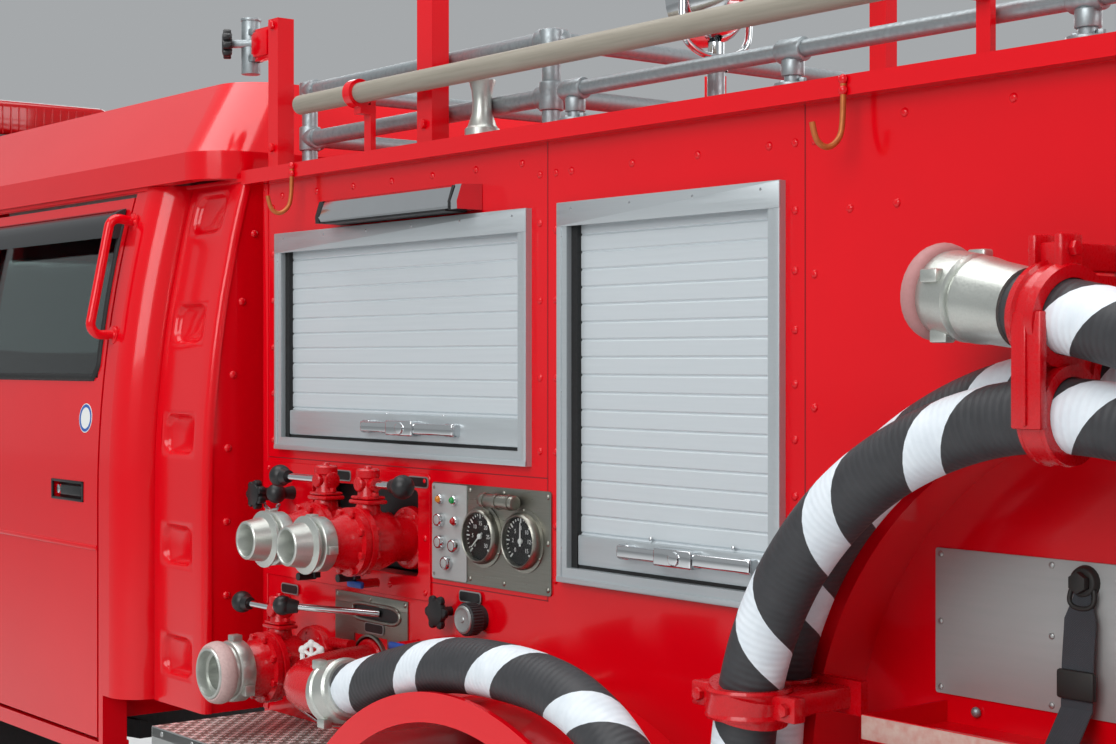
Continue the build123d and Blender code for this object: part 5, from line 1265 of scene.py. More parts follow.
def clamp_straps():
    """Cast straps with flanges and bolts round the hose's turns."""
    bm, pins = blanks(2)
    for x, y in ((-1545, SIDE_Y + 50), (-1588, SIDE_Y + 150)):
        turned(bm, (x, y, 958), UP, [
            (0, 47.5), (0, 62), (4, 64), (10, 60), (34, 60), (40, 64), (44, 62), (44, 47.5), (0, 47.5)],
            steps=36)
    side_box(bm, (-1690, -1640), (138, 162), (962, 998), 4)
    side_box(bm, (-1530, -1478), (138, 162), (962, 998), 4)
    side_box(bm, (-1520, -1476), (30, 150), (964, 996), 4)
    side_box(bm, (-1660, -1600), (-1, 150), (964, 996), 4)
    for x, y in ((-1672, SIDE_Y + 162), (-1498, SIDE_Y + 162)):
        hexagon(pins, (x, y, 980), OUT, 17, 9)
    for y, z in ((SIDE_Y + 50, 1445), (SIDE_Y + 150, 1403)):
        turned(bm, (-2143, y, z), FORE, [
            (0, 47.5), (0, 60), (4, 62), (10, 58), (26, 58), (32, 62), (36, 60), (36, 47.5), (0, 47.5)],
            steps=36)
    along = Vector((-679, 97, -111)).normalized()
    saddle = Vector((-2125, SIDE_Y + 158, 1527))
    turned(bm, saddle - along * 23, along, [
        (0, 47.8), (0, 63), (12, 66), (15, 61), (31, 61), (34, 66), (46, 63), (46, 47.8), (0, 47.8)],
        steps=36)
    for x in (-2150, -2112):
        side_box(bm, (x, x + 12), (138, 182), (1578, 1624), 4)
        hexagon(pins, (x + (0 if x == -2150 else 12), SIDE_Y + 160, 1606), (-1 if x == -2150 else 1, 0, 0),
                17, 9)
    side_box(bm, (-2142, -2108), (-1, 14), (1380, 1640), 4)
    side_box(bm, (-2140, -2110), (0, 172), (1580, 1614), 3)
    side_box(bm, (-2147, -2103), (205, 219), (1388, 1530), 3)
    side_box(bm, (-2128, -2122), (214, 223), (1392, 1526), 2)
    for z in (1392, 1628):
        hexagon(pins, (-2125, SIDE_Y + 14, z), OUT, 17, 9)
    publish("clamp_straps", bm, "red_casting")
    publish("clamp_bolts", pins, "red_casting")


def fender_trim():
    """Round bead on the fender's edge and its seam bolts."""
    bm, pins = blanks(2)
    path = [polar(REAR_AXLE_X, AXLE_Z, FENDER_R, angle) for angle in range(22, 163, 10)]
    bent_bar(bm, [(x, FENDER_EDGE_Y, z) for x, z in path], bpy.context.scene.pumper_sizes.bead_radius / MM)
    publish("fender_bead", bm, "red_enamel")
    for angle in (40, 60, 120, 140):
        x, z = polar(REAR_AXLE_X, AXLE_Z, FENDER_R - 18, angle)
        ahead, rise = polar(0, 0, 1, angle)
        bolt(pins, (x, 780, z), (ahead, 0, rise), 8, 4)
    publish("fender_bolts", pins, "galvanised")


# ---------------------------------------------------------------- roof
def pipe_fittings():
    """Cast sockets and feet of the roof's pipes."""
    cast = bmesh.new()
    for x in (-860, -23):
        for y in (-600, 600):
            for z in (1950, 2053):
                rod(cast, (x, y, z - 26), (x, y, z + (26 if z < 2000 else 18)), 23, bevel=3)
                inward = 30 if x < -500 else -30
                rod(cast, (x, y, z), (x + inward, y, z), 23, bevel=3)
                rod(cast, (x, y, z), (x, y - math.copysign(30, y), z), 23, bevel=3)
            rod(cast, (x, y, 1835), (x, y, 1850), 34, bevel=3)
    for y in (-647, 647):
        for x in (-986, -1511, -2044, -2577):
            rod(cast, (x, y, 1886), (x, y, 1894), 30, bevel=2)
            rod(cast, (x, y, 1905), (x, y, 1930), 18, bevel=2)
            rod(cast, (x - 26, y, 1945), (x + 26, y, 1945), 19, bevel=3)
            for side in (-20, 20):
                hexagon(cast, (x + side, y, 1893), UP, 11, 8)
        for x in (-2740, -960):
            rod(cast, (x - 8, y, 1945), (x + 8, y, 1945), 17, bevel=5)
    publish("pipe_fittings", cast, "galvanised", one=True)


def roof_gear():
    """Star-knob clamp, cone aerial, searchlight and the posts' bolts."""
    knob, cone, lamp, lens, red, clamp, stem = blanks(7)
    turned(cone, (-695, 634, 1880), UP, [
        (0, 0), (0, 33), (24, 33), (26, 30), (30, 27), (54, 19), (76, 18), (96, 20), (112, 25), (116, 25),
        (118, 0)])
    publish("aerial_cone", cone, "turned_aluminium", one=True)
    rod(clamp, (150, 647, 2105), (150, 647, 2228), 21, bevel=2)
    rod(clamp, (150, 647, 2222), (150, 647, 2229), 23, bevel=2)
    box(clamp, (118, 142), (632, 662), (2188, 2204), 3)
    box(clamp, (118, 142), (632, 662), (2130, 2146), 3)
    rod(clamp, (125, 647, 2172), (182, 692, 2172), 9)
    publish("tube_clamp", clamp, "galvanised", one=True)
    lobed_knob(knob, (171, 682, 2172), (0.5, 0.86, 0), 33, 22, 8)
    publish("star_knob", knob, "moulded_black", one=True)
    turned(lamp, (-1250, 560, 2000), UP, [(0, 14), (-40, 14), (-40, 20), (-48, 20)])
    turned(lamp, (-1205, 560, 2070), (-1, 0, 0.08), [
        (0, 66), (0, 74), (14, 75), (40, 72), (90, 50), (106, 30), (110, 0)])
    turned(lens, (-1206, 560, 2070), (1, 0, -0.08), [(-2, 66), (4, 60), (10, 40), (13, 20), (14, 0)])
    bent_bar(lamp, [(-1250, 484, 2070), (-1250, 482, 2040), (-1250, 486, 2000), (-1250, 520, 1980),
                    (-1250, 560, 1976), (-1250, 600, 1980), (-1250, 634, 2000), (-1250, 638, 2040),
                    (-1250, 636, 2070)], 6)
    publish("search_shell", lamp, "chrome_plate", hides=("roof_lamps",), one=True)
    publish("search_lens", lens, "clear_lens", one=True)
    rod(stem, (-1250, 560, 1835), (-1250, 560, 1980), 15)
    rod(stem, (-1250, 560, 1835), (-1250, 560, 1845), 45, bevel=2)
    publish("search_stem", stem, "galvanised", one=True)
    for y in (640, -640):
        for x, z in ((19, 1930), (19, 2195), (-553, 1925), (-553, 1995)):
            hexagon(red, (x, y + math.copysign(27, y), z), (0, math.copysign(1, y), 0), 16, 8)
    box(red, (60, 128), (634, 660), (2138, 2194), 4)
    publish("post_bolts", red, "red_enamel", one=True)


# ---------------------------------------------------------------- cab
CAB_LEAN_R = 2642
CAB_STRAIGHT_Z = 1150
HANDLE_Z, CREASE_Z, STICKER_AT = 1165, (1034, 1046), (574, 1337)
# Windscreen: X at its foot, height of the foot, and how far it leans back per unit of height
SCREEN_X, SCREEN_Z, SCREEN_SLOPE = 2775, 1150, 190 / 720
DOORS = {
    # door: body, its two X ends, then its window's corners
    "rear": ("door_rear", (500, 1370), ((528, 1431), (1300, 1431), (1300, 1812), (528, 1812))),
    "front": ("door_front", (1430, 2450), ((1500, 1431), (2390, 1371), (2280, 1812), (1500, 1812))),
}


def cab_side(x, z):
    """How far out the cab's side is at a place: straight low down, then leaning in."""
    half = 767 if x < 350 else min(850, 767 + (x - 350))
    rise = max(0, z - CAB_STRAIGHT_Z)
    return half - (CAB_LEAN_R - math.sqrt(CAB_LEAN_R ** 2 - rise ** 2))


def window_seal(bm, corners, radius, proud):
    """Round rubber seal along a window's outline, on the leaning side."""
    path = []
    for number, (x, z) in enumerate(corners):
        next_x, next_z = corners[(number + 1) % len(corners)]
        run = math.hypot(next_x - x, next_z - z)
        for share in (22 / run, 40 / run, 0.25, 0.5, 0.75, 1 - 40 / run, 1 - 22 / run):
            spot_x, spot_z = x + (next_x - x) * share, z + (next_z - z) * share
            path.append((spot_x, cab_side(spot_x, spot_z) + proud, spot_z))
    bent_bar(bm, path, radius, cyclic=True, resolution=3)


def door_trim():
    """Window seals, smoked visors, recessed handles and the round sticker of each door."""
    for place, (body, span, corners) in DOORS.items():
        rubber, visor, cap, black, chrome, crease = blanks(6)
        window_seal(rubber, corners, bpy.context.scene.pumper_sizes.seal_radius / MM, -2)
        top = corners[2][1]
        left, right = corners[3][0] - 6, corners[2][0] + 16
        for x_low, x_high, bm in ((left + 22, right, visor), (left, left + 22, cap)):
            shape = [(cab_side(900, top + level) + out, top + rise) for level, out, rise in (
                (14, 4, 14), (2, 24, 4), (-24, 36, -24), (-56, 38, -56), (-56, 34, -56), (-24, 31, -24),
                (0, 20, 0), (14, 0, 10))]
            if bm is cap:
                shape = shape[:4] + [(cab_side(900, top - 56) + 2, top - 56)]
            flat_plate(bm, shape, "YZX", x_low, x_high)
        handle_x, handle_z = span[0] + 160, HANDLE_Z
        side = cab_side(900, handle_z)
        for z in (handle_z - 24, handle_z + 18):
            box(black, (handle_x - 88, handle_x + 88), (side - 3, side + 3), (z, z + 6), 2)
        for x in (handle_x - 88, handle_x + 81):
            box(black, (x, x + 7), (side - 3, side + 3), (handle_z - 24, handle_z + 24), 2)
        box(black, (handle_x - 82, handle_x + 82), (side - 21, side - 18), (handle_z - 22, handle_z + 22))
        box(black, (handle_x - 74, handle_x + 40), (side - 8, side + 1), (handle_z - 13, handle_z + 13), 5, 3)
        rod(chrome, (handle_x + 60, side - 20, handle_z), (handle_x + 60, side - 3, handle_z), 11, bevel=2)
        box(crease, (span[0] + 3, span[1] - 3), (side - 3, side + 3), CREASE_Z, 2.5, 3)
        publish(f"window_seal_{place}", rubber, "seal_rubber", body)
        publish(f"window_visor_{place}", visor, "smoked_visor", body)
        publish(f"visor_cap_{place}", cap, "cast_dash", body)
        publish(f"door_handle_{place}", black, "moulded_black", body)
        publish(f"door_lock_{place}", chrome, "chrome_plate", body)
        publish(f"door_crease_{place}", crease, "red_enamel", body)
    disc, rim = blanks(2)
    x, z = STICKER_AT
    flat = Vector((0, 1, (z - CAB_STRAIGHT_Z) / CAB_LEAN_R)).normalized()
    spot = Vector((x, cab_side(x, z), z))
    rod(disc, spot - flat * 2, spot + flat * 0.6, 34, segments=48)
    turned(rim, spot, flat, [(0.2, 25), (0.9, 25), (0.9, 32), (0.2, 32), (0.2, 25)], 48)
    publish("sticker_disc", disc, "white_enamel", "door_rear")
    publish("sticker_ring", rim, "sticker_blue", "door_rear")


POCKET_X = 240
POCKETS_Z = [818 + 245 * number for number in range(5)]
PATCH_HALF_X, PATCH_HALF_Z = 80, 55
CORNER_X, CORNER_R = 436, 84


def pocket(bm, centre_z):
    """One rounded pocket pressed into the corner panel, inside its square of flat sheet."""
    rows = []
    for half_x, half_z, out in ((PATCH_HALF_X, PATCH_HALF_Z, 16), (70, 46, 16), (67, 43.5, 14.5), (63, 40, 8),
                                (60, 37, 3), (56, 33, 0.9)):
        corner = 0 if half_x == PATCH_HALF_X else min(30, half_z * 0.7)
        row = []
        for step_x, step_z in outlined((-half_x, half_x), (-half_z, half_z), corner or 0.01, 8):
            z = centre_z + step_z
            row.append((POCKET_X + step_x, cab_side(0, z) + out, z))
        rows.append(row)
    bm.faces.new(reversed(skin(bm, rows, around=True)[-1]))


def corner_panel(bm):
    """Pressed panel on the cab's straight rear strip, with five pockets, and the round corner ahead of it."""
    front = ((353, -2), (353, 9), (350, 14), (344, 16), (POCKET_X + PATCH_HALF_X, 16))
    rear = ((POCKET_X - PATCH_HALF_X, 16), (128, 16), (122, 15.3), (116, 12), (112.5, 6), (112, -3))
    heights = [706]
    for centre_z in POCKETS_Z:
        low, high = centre_z - PATCH_HALF_Z, centre_z + PATCH_HALF_Z
        skin(bm, [[(x, cab_side(0, z) + 16, z) for x, _ in (front[-1], rear[0])] for z in (heights[-1], low)])
        pocket(bm, centre_z)
        heights += [low, centre_z, high]
    heights.append(1869.5)
    skin(bm, [[(x, cab_side(0, z) + 16, z) for x, _ in (front[-1], rear[0])] for z in heights[-2:]])
    for columns in (front, rear):
        skin(bm, [[(x, cab_side(0, z) + out, z) for x, out in columns] for z in heights])
    bmesh.ops.remove_doubles(bm, verts=bm.verts, dist=1e-5)
    rows = []
    for z in (*range(706, 1866, 40), 1869.5):
        side = cab_side(0, z)
        row = [(*polar(CORNER_X, side, CORNER_R, angle), z) for angle in range(90, 181, 9)]
        rows.append(row + [(362, side - 5, z), (440, side + 73, z)])
    for row in skin(bm, rows, around=True)[::len(rows) - 1]:
        bm.faces.new(row)


def cab_trim():
    """Pocket panel, rear wall bolts, the roof's sill, grab handle feet and the screen's wipers."""
    red, feet, gutter, rubber, black = blanks(5)
    corner_panel(red)
    for z in (800, 960, 1120, 1280, 1440, 1600, 1750):
        bolt(feet, (115, cab_side(130, z) - 40, z), (-1, 0, 0), 9, 6)
    for z in (1530, 1790):
        spot = (470, cab_side(470, z) - 2, z)
        rod(feet, spot, (spot[0], spot[1] + 7, spot[2]), 21, bevel=2)
        for x in (-12, 12):
            bolt(feet, (470 + x, spot[1] + 7, z), OUT, 5, 3)
    flat_plate(gutter, [(112, 600), (112, cab_side(0, 1869) + 22), (345, cab_side(0, 1869) + 22),
                        (450, cab_side(450, 1869) + 6), (2560, cab_side(900, 1869) + 6), (2560, 600)], "XYZ",
                        1862, 1871)
    publish("corner_panels", red, "red_enamel")
    publish("cab_bolts", feet, "red_enamel")
    publish("roof_sill", gutter, "red_enamel")

    def screen(y, z, out):
        ahead = out / math.hypot(1, SCREEN_SLOPE)
        return SCREEN_X - (z - SCREEN_Z) * SCREEN_SLOPE + ahead, y, z + SCREEN_SLOPE * ahead
    for y in (-640, 640):
        rod(rubber, screen(y * 1.09, 1222, 9), screen(y * 1.09, 1808, 9), 9)
    for z in (1215, 1815):
        rod(rubber, screen(-690, z, 9), screen(690, z, 9), 9)
    for pivot, tip in ((560, 130), (-20, -460)):
        rod(black, screen(pivot, 1198, 4), screen(pivot, 1198, 34), 14, bevel=3)
        rod(black, screen(pivot, 1198, 30), screen(tip, 1262, 28), 5, 4, segments=10)
        rod(black, screen(tip + 270, 1236, 16), screen(tip - 250, 1290, 16), 5, segments=10)
    publish("screen_seal", rubber, "seal_rubber", one=True)
    publish("wipers", black, "moulded_black", one=True)


def front_end():
    """Headlamp bowls and lenses, indicators, grille bars, fog lamps and the bare number plate."""
    housing, bowl, lens, amber, bars, chrome, plate = blanks(7)
    for y, radius in ((690, 52), (590, 44)):
        turned(bowl, (2771, y, 800), FORE, [(0, 0), (1, radius * 0.3), (9, radius * 0.7), (24, radius),
                                                 (26, radius + 4), (22, radius + 4), (0, radius * 0.8)])
        turned(bowl, (2772, y, 800), FORE, [(0, 9), (16, 9), (20, 6), (21, 0)], 16)
    box(housing, (2760, 2769), (530, 750), (725, 875))
    for z in (725, 868):
        box(housing, (2760, 2797), (530, 750), (z, z + 7))
    for y in (530, 743):
        box(housing, (2760, 2797), (y, y + 7), (725, 875))
    box(lens, (2797, 2803), (531, 749), (726, 874), 2)
    box(amber, (2782, 2797), (640, 830), (690, 716), 4)
    for number in range(6):
        box(bars, (2792, 2803), (-496, 496), (750 + number * 38, 760 + number * 38), 3)
    box(chrome, (2790, 2804), (-505, 505), (961, 969), 3)
    box(chrome, (2790, 2804), (-505, 505), (731, 739), 3)
    for y in (-420, 420):
        turned(chrome, (2868, y, 420), FORE, [(0, 0), (0, 46), (5, 46), (6.5, 42), (3, 38), (0, 20)])
    box(plate, (2875, 2877), (-165, 165), (380, 545), 1)
    publish("lamp_housings", housing, "moulded_black", hides=("headlamps",))
    publish("lamp_bowls", bowl, "reflector_silver")
    publish("lamp_lenses", lens, "clear_lens")
    publish("front_indicators", amber, "amber_lens")
    publish("grille_bars", bars, "moulded_black", one=True)
    publish("grille_strips", chrome, "chrome_plate", one=True)
    publish("front_plate", plate, "white_enamel", one=True)


def light_bar_parts():
    """Roof light bar: black base, two red domes with ribs and a white loudspeaker box between them."""
    base, dome, middle = blanks(3)
    box(base, (1902, 2158), (-558, 558), (2110, 2150), 6, 3)
    for low, high in ((-556, -150), (150, 556)):
        box(dome, (1914, 2146), (low, high), (2150, 2256), 22, 4)
        for y in range(low + 30, high - 20, 26):
            box(dome, (1911, 2149), (y, y + 5), (2152, 2240), 2)
    box(middle, (1916, 2144), (-146, 146), (2150, 2250), 14, 3)
    for z in range(2166, 2240, 14):
        box(base, (2140, 2147), (-110, 110), (z, z + 6), 1)
    publish("bar_base", base, "moulded_black", hides=("light_bar",), one=True)
    publish("bar_domes", dome, "red_lens", one=True)
    publish("bar_speaker", middle, "white_enamel", one=True)


def mirror_heads():
    """Mirror shells with bevelled rims, their glass and the arms' clamps."""
    shell, glass = blanks(2)
    box(shell, (2606, 2650), (961, 1049), (1331, 1639), 14, 4)
    box(glass, (2603, 2607), (967, 1043), (1340, 1630), 1.5)
    for z in (1380, 1600):
        rod(shell, (2560, 826, z), (2625, 1000, z), 10.5)
        rod(shell, (2604, 944, z), (2612, 966, z), 15, bevel=2)
    publish("mirror_shells", shell, "moulded_black", hides=("mirrors",))
    publish("mirror_glass", glass, "reflector_silver")


def rear_end():
    """Rear lamp clusters, the step's tread plate and grips, and the bare number plate."""
    red, amber, white, rim, tread, plate, grips = blanks(7)
    for bm, low, high in ((red, 532, 572), (amber, 573, 610), (white, 611, 648)):
        box(bm, (-2824, -2806), (low, high), (592, 688), 4, 3)
        for z in range(600, 686, 9):
            box(bm, (-2824, -2822), (low + 3, high - 3), (z, z + 2))
    box(rim, (-2812, -2800), (527, 653), (587, 693), 3)
    box(red, (-2824, -2806), (537, 643), (1752, 1808), 8, 3)
    box(rim, (-2811, -2800), (533, 647), (1748, 1812), 3)
    box(tread, (-2860, -2802), (-897, 897), (519, 521.5), 0.5)
    for x, y in ((-2866, 800), (-2866, 0), (-2866, 400)):
        bolt(grips, (x, y, 500), (-1, 0, 0), 8, 5)
    rod(grips, (-2802, 600, 1100), (-2856, 600, 1100), 9)
    rod(grips, (-2802, 600, 1560), (-2856, 600, 1560), 9)
    rod(grips, (-2856, 600, 1086), (-2856, 600, 1574), 12, bevel=4)
    box(plate, (-2877, -2875), (-165, 165), (405, 515), 1)
    publish("rear_lamps_red", red, "red_lens", hides=("tail_lamps",))
    publish("rear_lamps_amber", amber, "amber_lens")
    publish("rear_lamps_white", white, "clear_lens")
    publish("rear_lamp_rims", rim, "moulded_black")
    publish("step_tread", tread, "tread_plate", one=True)
    publish("rear_grips", grips, "galvanised")
    publish("rear_plate", plate, "white_enamel", one=True)


def deck_tread():
    """Chequer plate on the side decks, with its folded bright edge."""
    bm, edge = blanks(2)
    meets_fender = REAR_AXLE_X + math.sqrt((FENDER_R + 4) ** 2 - (DECK_Z - AXLE_Z) ** 2)
    outline = [(25, 668), (25, 949), (meets_fender, 949), (meets_fender, 668)]
    flat_plate(bm, outline, "XYZ", DECK_Z, DECK_Z + 2)
    publish("deck_tread", bm, "tread_plate")
    box(edge, (-583, 25), (946, 950), (694, 717), 1.5)
    for x in range(-540, 20, 130):
        bolt(edge, (x, 950, 705), OUT, 6, 3)
    publish("deck_edge", edge, "rolled_aluminium")


def wheel_trim():
    """Lug nuts, studs, hub caps and valve stems, each on its wheel."""
    for wheel, (axle_x, centre, face) in WHEELS.items():
        bm, hub = blanks(2)
        disc = centre + face
        for spot in ring_of((axle_x, disc, AXLE_Z), OUT, 95, 6, 0.3):
            hexagon(bm, spot, OUT, 30, 22)
            rod(bm, spot, (spot[0], spot[1] + 30, spot[2]), 7, segments=12, bevel=1.5)
            rod(bm, spot, (spot[0], spot[1] + 4, spot[2]), 20, segments=20, bevel=1)
        if wheel == "front":
            turned(hub, (axle_x, 780, AXLE_Z), OUT, [(0, 62), (5, 62), (8, 56), (10, 50), (26, 44), (32, 36),
                                                     (34, 0)])
        else:
            turned(hub, (axle_x, 820, AXLE_Z), OUT, [(0, 68), (5, 69), (9, 66), (10, 48), (22, 44), (26, 38),
                                                     (27, 0)])
            for spot in ring_of((axle_x, 826, AXLE_Z), OUT, 57, 8, 0.1):
                hexagon(hub, spot, OUT, 15, 8)
        turned(hub, (axle_x, centre + RIM_EDGE_OUT, AXLE_Z), OUT, [
            (0, 191), (10, 191), (13, 196), (15, 204), (14, 209), (8, 210), (6, 203), (0, 200)], 64)
        rod(hub, (axle_x + 150, disc, AXLE_Z + 96), (axle_x + 156, disc + 34, AXLE_Z + 100), 4.5, segments=10)
        publish(f"lug_nuts_{wheel}", bm, "galvanised", f"wheel_{wheel}", slot="wheel_paint")
        publish(f"hub_cap_{wheel}", hub, "wheel_silver", f"wheel_{wheel}")


def chain_loop(bm, points, link=11):
    """Small welded chain laid along points, its links turned by quarters."""
    for number, (start, end) in enumerate(zip(points, points[1:])):
        way = (Vector(end) - Vector(start)).normalized()
        across = way.cross(Vector(OUT)).normalized()
        if number % 2:
            across = way.cross(across).normalized()
        middle = (Vector(start) + Vector(end)) / 2
        reach, half = link * 0.62, link * 0.34
        bent_bar(bm, [middle + way * (a * reach) + across * (b * half)
                      for a, b in ((1, 0), (0.7, 1), (-0.7, 1), (-1, 0), (-0.7, -1), (0.7, -1))],
                 1.3, cyclic=True, resolution=3)


def plug_chain():
    """Chain from the panel's plug."""
    bm = bmesh.new()
    points = [(-14 - 8 * n, SIDE_Y + 40 + 3 * math.sin(n * 0.9),
               1168 - 15 * math.sin(n * 0.4)) for n in range(9)]
    chain_loop(bm, points)
    publish("plug_chain", bm, "galvanised")


# ---------------------------------------------------------------- seats
# Grain and swell of the pads in metres, and the steps that blow them up
PAD_GRAIN, PAD_SWELL, PAD_STEPS = 0.024, 0.024, 20


def soft_pad(name, x, y, z):
    """Foam pad under tight cloth: a box that the cloth solver blows up a little."""
    bm = bmesh.new()
    box(bm, (x[0] + 10, x[1] - 10), (y[0] + 10, y[1] - 10), (z[0] + 8, z[1] - 8), 30, 4)
    mesh = bpy.data.meshes.new(name)
    bm.to_mesh(mesh)
    bm.free()
    pad = linked(name, mesh)
    remesh = pad.modifiers.new("Even", "REMESH")
    remesh.mode = "VOXEL"
    remesh.voxel_size = PAD_GRAIN
    graph = bpy.context.evaluated_depsgraph_get()
    even = bpy.data.meshes.new_from_object(pad.evaluated_get(graph))
    pad.modifiers.clear()
    pad.data = even
    rest = [vert.co.copy() for vert in even.vertices]
    cloth = pad.modifiers.new("Cloth", "CLOTH")
    cloth.settings.use_pressure = True
    cloth.settings.uniform_pressure_force = 4
    cloth.settings.effector_weights.gravity = 0
    scene = bpy.context.scene
    for step in range(1, PAD_STEPS + 1):
        scene.frame_set(step)
    blown = bpy.data.meshes.new_from_object(pad.evaluated_get(bpy.context.evaluated_depsgraph_get()))
    pad.modifiers.clear()
    pad.data = blown
    low, high = (Vector(corner) * MM for corner in zip(x, y, z))
    for vert, start in zip(blown.vertices, rest):
        shift = vert.co - start
        if shift.length > PAD_SWELL:
            shift = shift.normalized() * PAD_SWELL
        spot = start + shift
        vert.co = Vector([min(max(spot[a], low[a]), high[a]) for a in range(3)])
    scene.frame_set(1)
    blown.shade_smooth()
    blown.materials.clear()
    blown.materials.append(finish("seat_cloth"))
    rounder = pad.modifiers.new("Rounder", "SUBSURF")
    rounder.levels = rounder.render_levels = 1
    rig.ride(pad, "chassis")
    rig.slot(pad, "seat_cloth")
    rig.padded(pad, fill=0.85)
    return pad


def crew_seats():
    """Pads of the front seats and the rear bench, and the bench's base."""
    deck, foot = 910, 680
    pads = []
    for number, (low, high) in enumerate(((230, 700), (-220, 220), (-700, -230))):
        pads.append(soft_pad(f"seat_pad_{number}", (1602, 2078), (low, high), (deck, deck + 128)))
        pads.append(soft_pad(f"seat_back_{number}", (1482, 1598), (low, high), (deck + 2, deck + 615)))
    pads.append(soft_pad("bench_pad", (692, 1098), (-688, 688), (foot + 200, foot + 378)))
    pads.append(soft_pad("bench_back", (568, 688), (-688, 688), (foot + 380, foot + 898)))
    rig.replaces(pads[0], "seats")
    base = bmesh.new()
    box(base, (640, 1090), (-680, 680), (foot, foot + 215), 8)
    publish("bench_base", base, "cab_liner", one=True)


# ---------------------------------------------------------------- CAD nodes that show
DRESS = {
    "red_enamel": ("body_shell", "cab_shell", "cab_front", "cab_roof", "rear_fenders", "hose_niches",
                   "grab_handles", "roof_posts", "door_front_left", "door_front_right", "door_rear_left",
                   "door_rear_right"),
    "red_casting": ("hose_clamps",),
    "anodised_slat": ("shutter_curtains",),
    "anodised_frame": ("shutter_frames",),
    "brushed_stainless": ("panel_plates",),
    "galvanised": ("roof_rails",),
    "worn_pole": ("roof_pole",),
    "chassis_black": ("chassis_frame", "leaf_springs", "bumper"),
    "forged_steel": ("engine", "pump_block", "front_axle", "rear_axle", "knuckle_left", "knuckle_right"),
    "wheel_silver": ("rim_front_left", "rim_front_right", "rim_rear_left", "rim_rear_right"),
    "front_tyre": ("tyre_front_left", "tyre_front_right"),
    "rear_tyre": ("tyre_rear_left", "tyre_rear_right"),
    "moulded_black": ("grille",),
    "seal_rubber": ("mud_flaps",),
    "cast_dash": ("dashboard",),
    "rolled_aluminium": ("side_decks", "rear_step"),
    "window_glass": ("windscreen", "glass_front_left", "glass_front_right", "glass_rear_left",
                     "glass_rear_right"),
}


def dress_nodes():
    """Give every CAD node that still shows its finish."""
    for material, nodes in DRESS.items():
        for node in nodes:
            if node in NODES and not NODES[node].hide_render:
                dress(node, material)


# ---------------------------------------------------------------- add-on
def number(name, description, default, **limits):
    """Number setting of the sidebar."""
    return bpy.props.FloatProperty(name=name, description=description, default=default, **limits)


class PumperView(bpy.types.PropertyGroup):
    """Where the camera stands and how bright the studio is."""
    lens: number("Lens", "Focal length on a 36 mm sensor, in millimetres", 60.5, min=10, max=300)
    eye: bpy.props.FloatVectorProperty(name="Eye", description="Camera's place", subtype="TRANSLATION",
                                       unit="LENGTH", default=(-3.521, 2.724, 1.470))
    heading: number("Heading", "Compass angle of the view from +X", math.radians(-38.8), unit="ROTATION")
    shift: number("Shift", "Vertical shift of the picture", -0.0099)
    room: number("Room", "Strength of the room's even light", 0.55, min=0)
    side_power: number("Side box", "Power of the side box, in watts", 420, min=0)
    top_power: number("Top box", "Power of the top box, in watts", 420, min=0)
    exposure: number("Exposure", "Exposure of the picture, in stops", -0.25)
    rear_power: number("End boxes", "Power of the far boxes, in watts", 220, min=0)


class PumperSizes(bpy.types.PropertyGroup):
    """Sizes of the small parts that the scene adds."""
    band_pitch: number("Band pitch", "Length of hose per turn of its white band", 0.215, min=0.05,
                       unit="LENGTH")
    seal_radius: number("Seal radius", "Radius of the window seals", 0.009, min=0.002, unit="LENGTH")
    bead_radius: number("Bead radius", "Radius of the fender's edge bead", 0.004, min=0.001, unit="LENGTH")
    knob_radius: number("Knob radius", "Radius of the levers' ball knobs", 0.023, min=0.005, unit="LENGTH")
    bolt_scale: number("Bolt heads", "Width of the dome heads against their drawn width", 1.0, min=0.5,
                       max=2.0, subtype="FACTOR")


def colour_property(name, description, default):
    """Colour setting of the sidebar, given as an sRGB hex default."""
    return bpy.props.FloatVectorProperty(name=name, description=description, subtype="COLOR", size=4, min=0,
                                         max=1, default=linear(default))


class PumperColours(bpy.types.PropertyGroup):
    """Main colours of the pumper."""
    enamel: colour_property("Enamel", "Red of the sheet metal", "#DC0013")
    casting: colour_property("Castings", "Red of the valves and clamps", "#CC0010")
    slat: colour_property("Slats", "Anodised slats of the roller shutters", "#CDD4D8")
    stainless: colour_property("Stainless", "Brushed plates of the pump panel", "#9A9990")
    window: colour_property("Windows", "Tint of the cab's glass", "#8E9C9A")
    hose: colour_property("Hose", "Rubber cover of the suction hoses", "#26272A")
    hose_band: colour_property("Hose band", "Band wound round the suction hoses", "#E6EDF2")
    rubber_ring: colour_property("Rubber ring", "Face ring of the hoses' free ends", "#B47F7E")


GROUPS = {"pumper_view": PumperView, "pumper_sizes": PumperSizes, "pumper_colours": PumperColours}


class Making:
    """What the operators share: each runs its makers."""
    bl_options = {"REGISTER", "UNDO"}
    makers = ()

    def execute(self, context):
        for make in self.makers:
            make()
        return {"FINISHED"}


class PUMPER_OT_suction_hoses(Making, bpy.types.Operator):
    """Both coiled suction hoses with their couplings"""
    bl_idname, bl_label = "pumper.suction_hoses", "Suction hoses"
    makers = (suction_hoses,)


class PUMPER_OT_pump_fittings(Making, bpy.types.Operator):
    """Red valves, bright couplings, levers and knobs"""
    bl_idname, bl_label = "pumper.pump_fittings", "Pump fittings"
    makers = (pump_fittings,)


class PUMPER_OT_pump_panel(Making, bpy.types.Operator):
    """Gauges, switch strip, plates and hand knobs"""
    bl_idname, bl_label = "pumper.pump_panel", "Pump panel"
    makers = (instrument_plate, switch_strip, suction_surround, valve_frame, hand_knobs, dial_numbers,
              plug_chain)


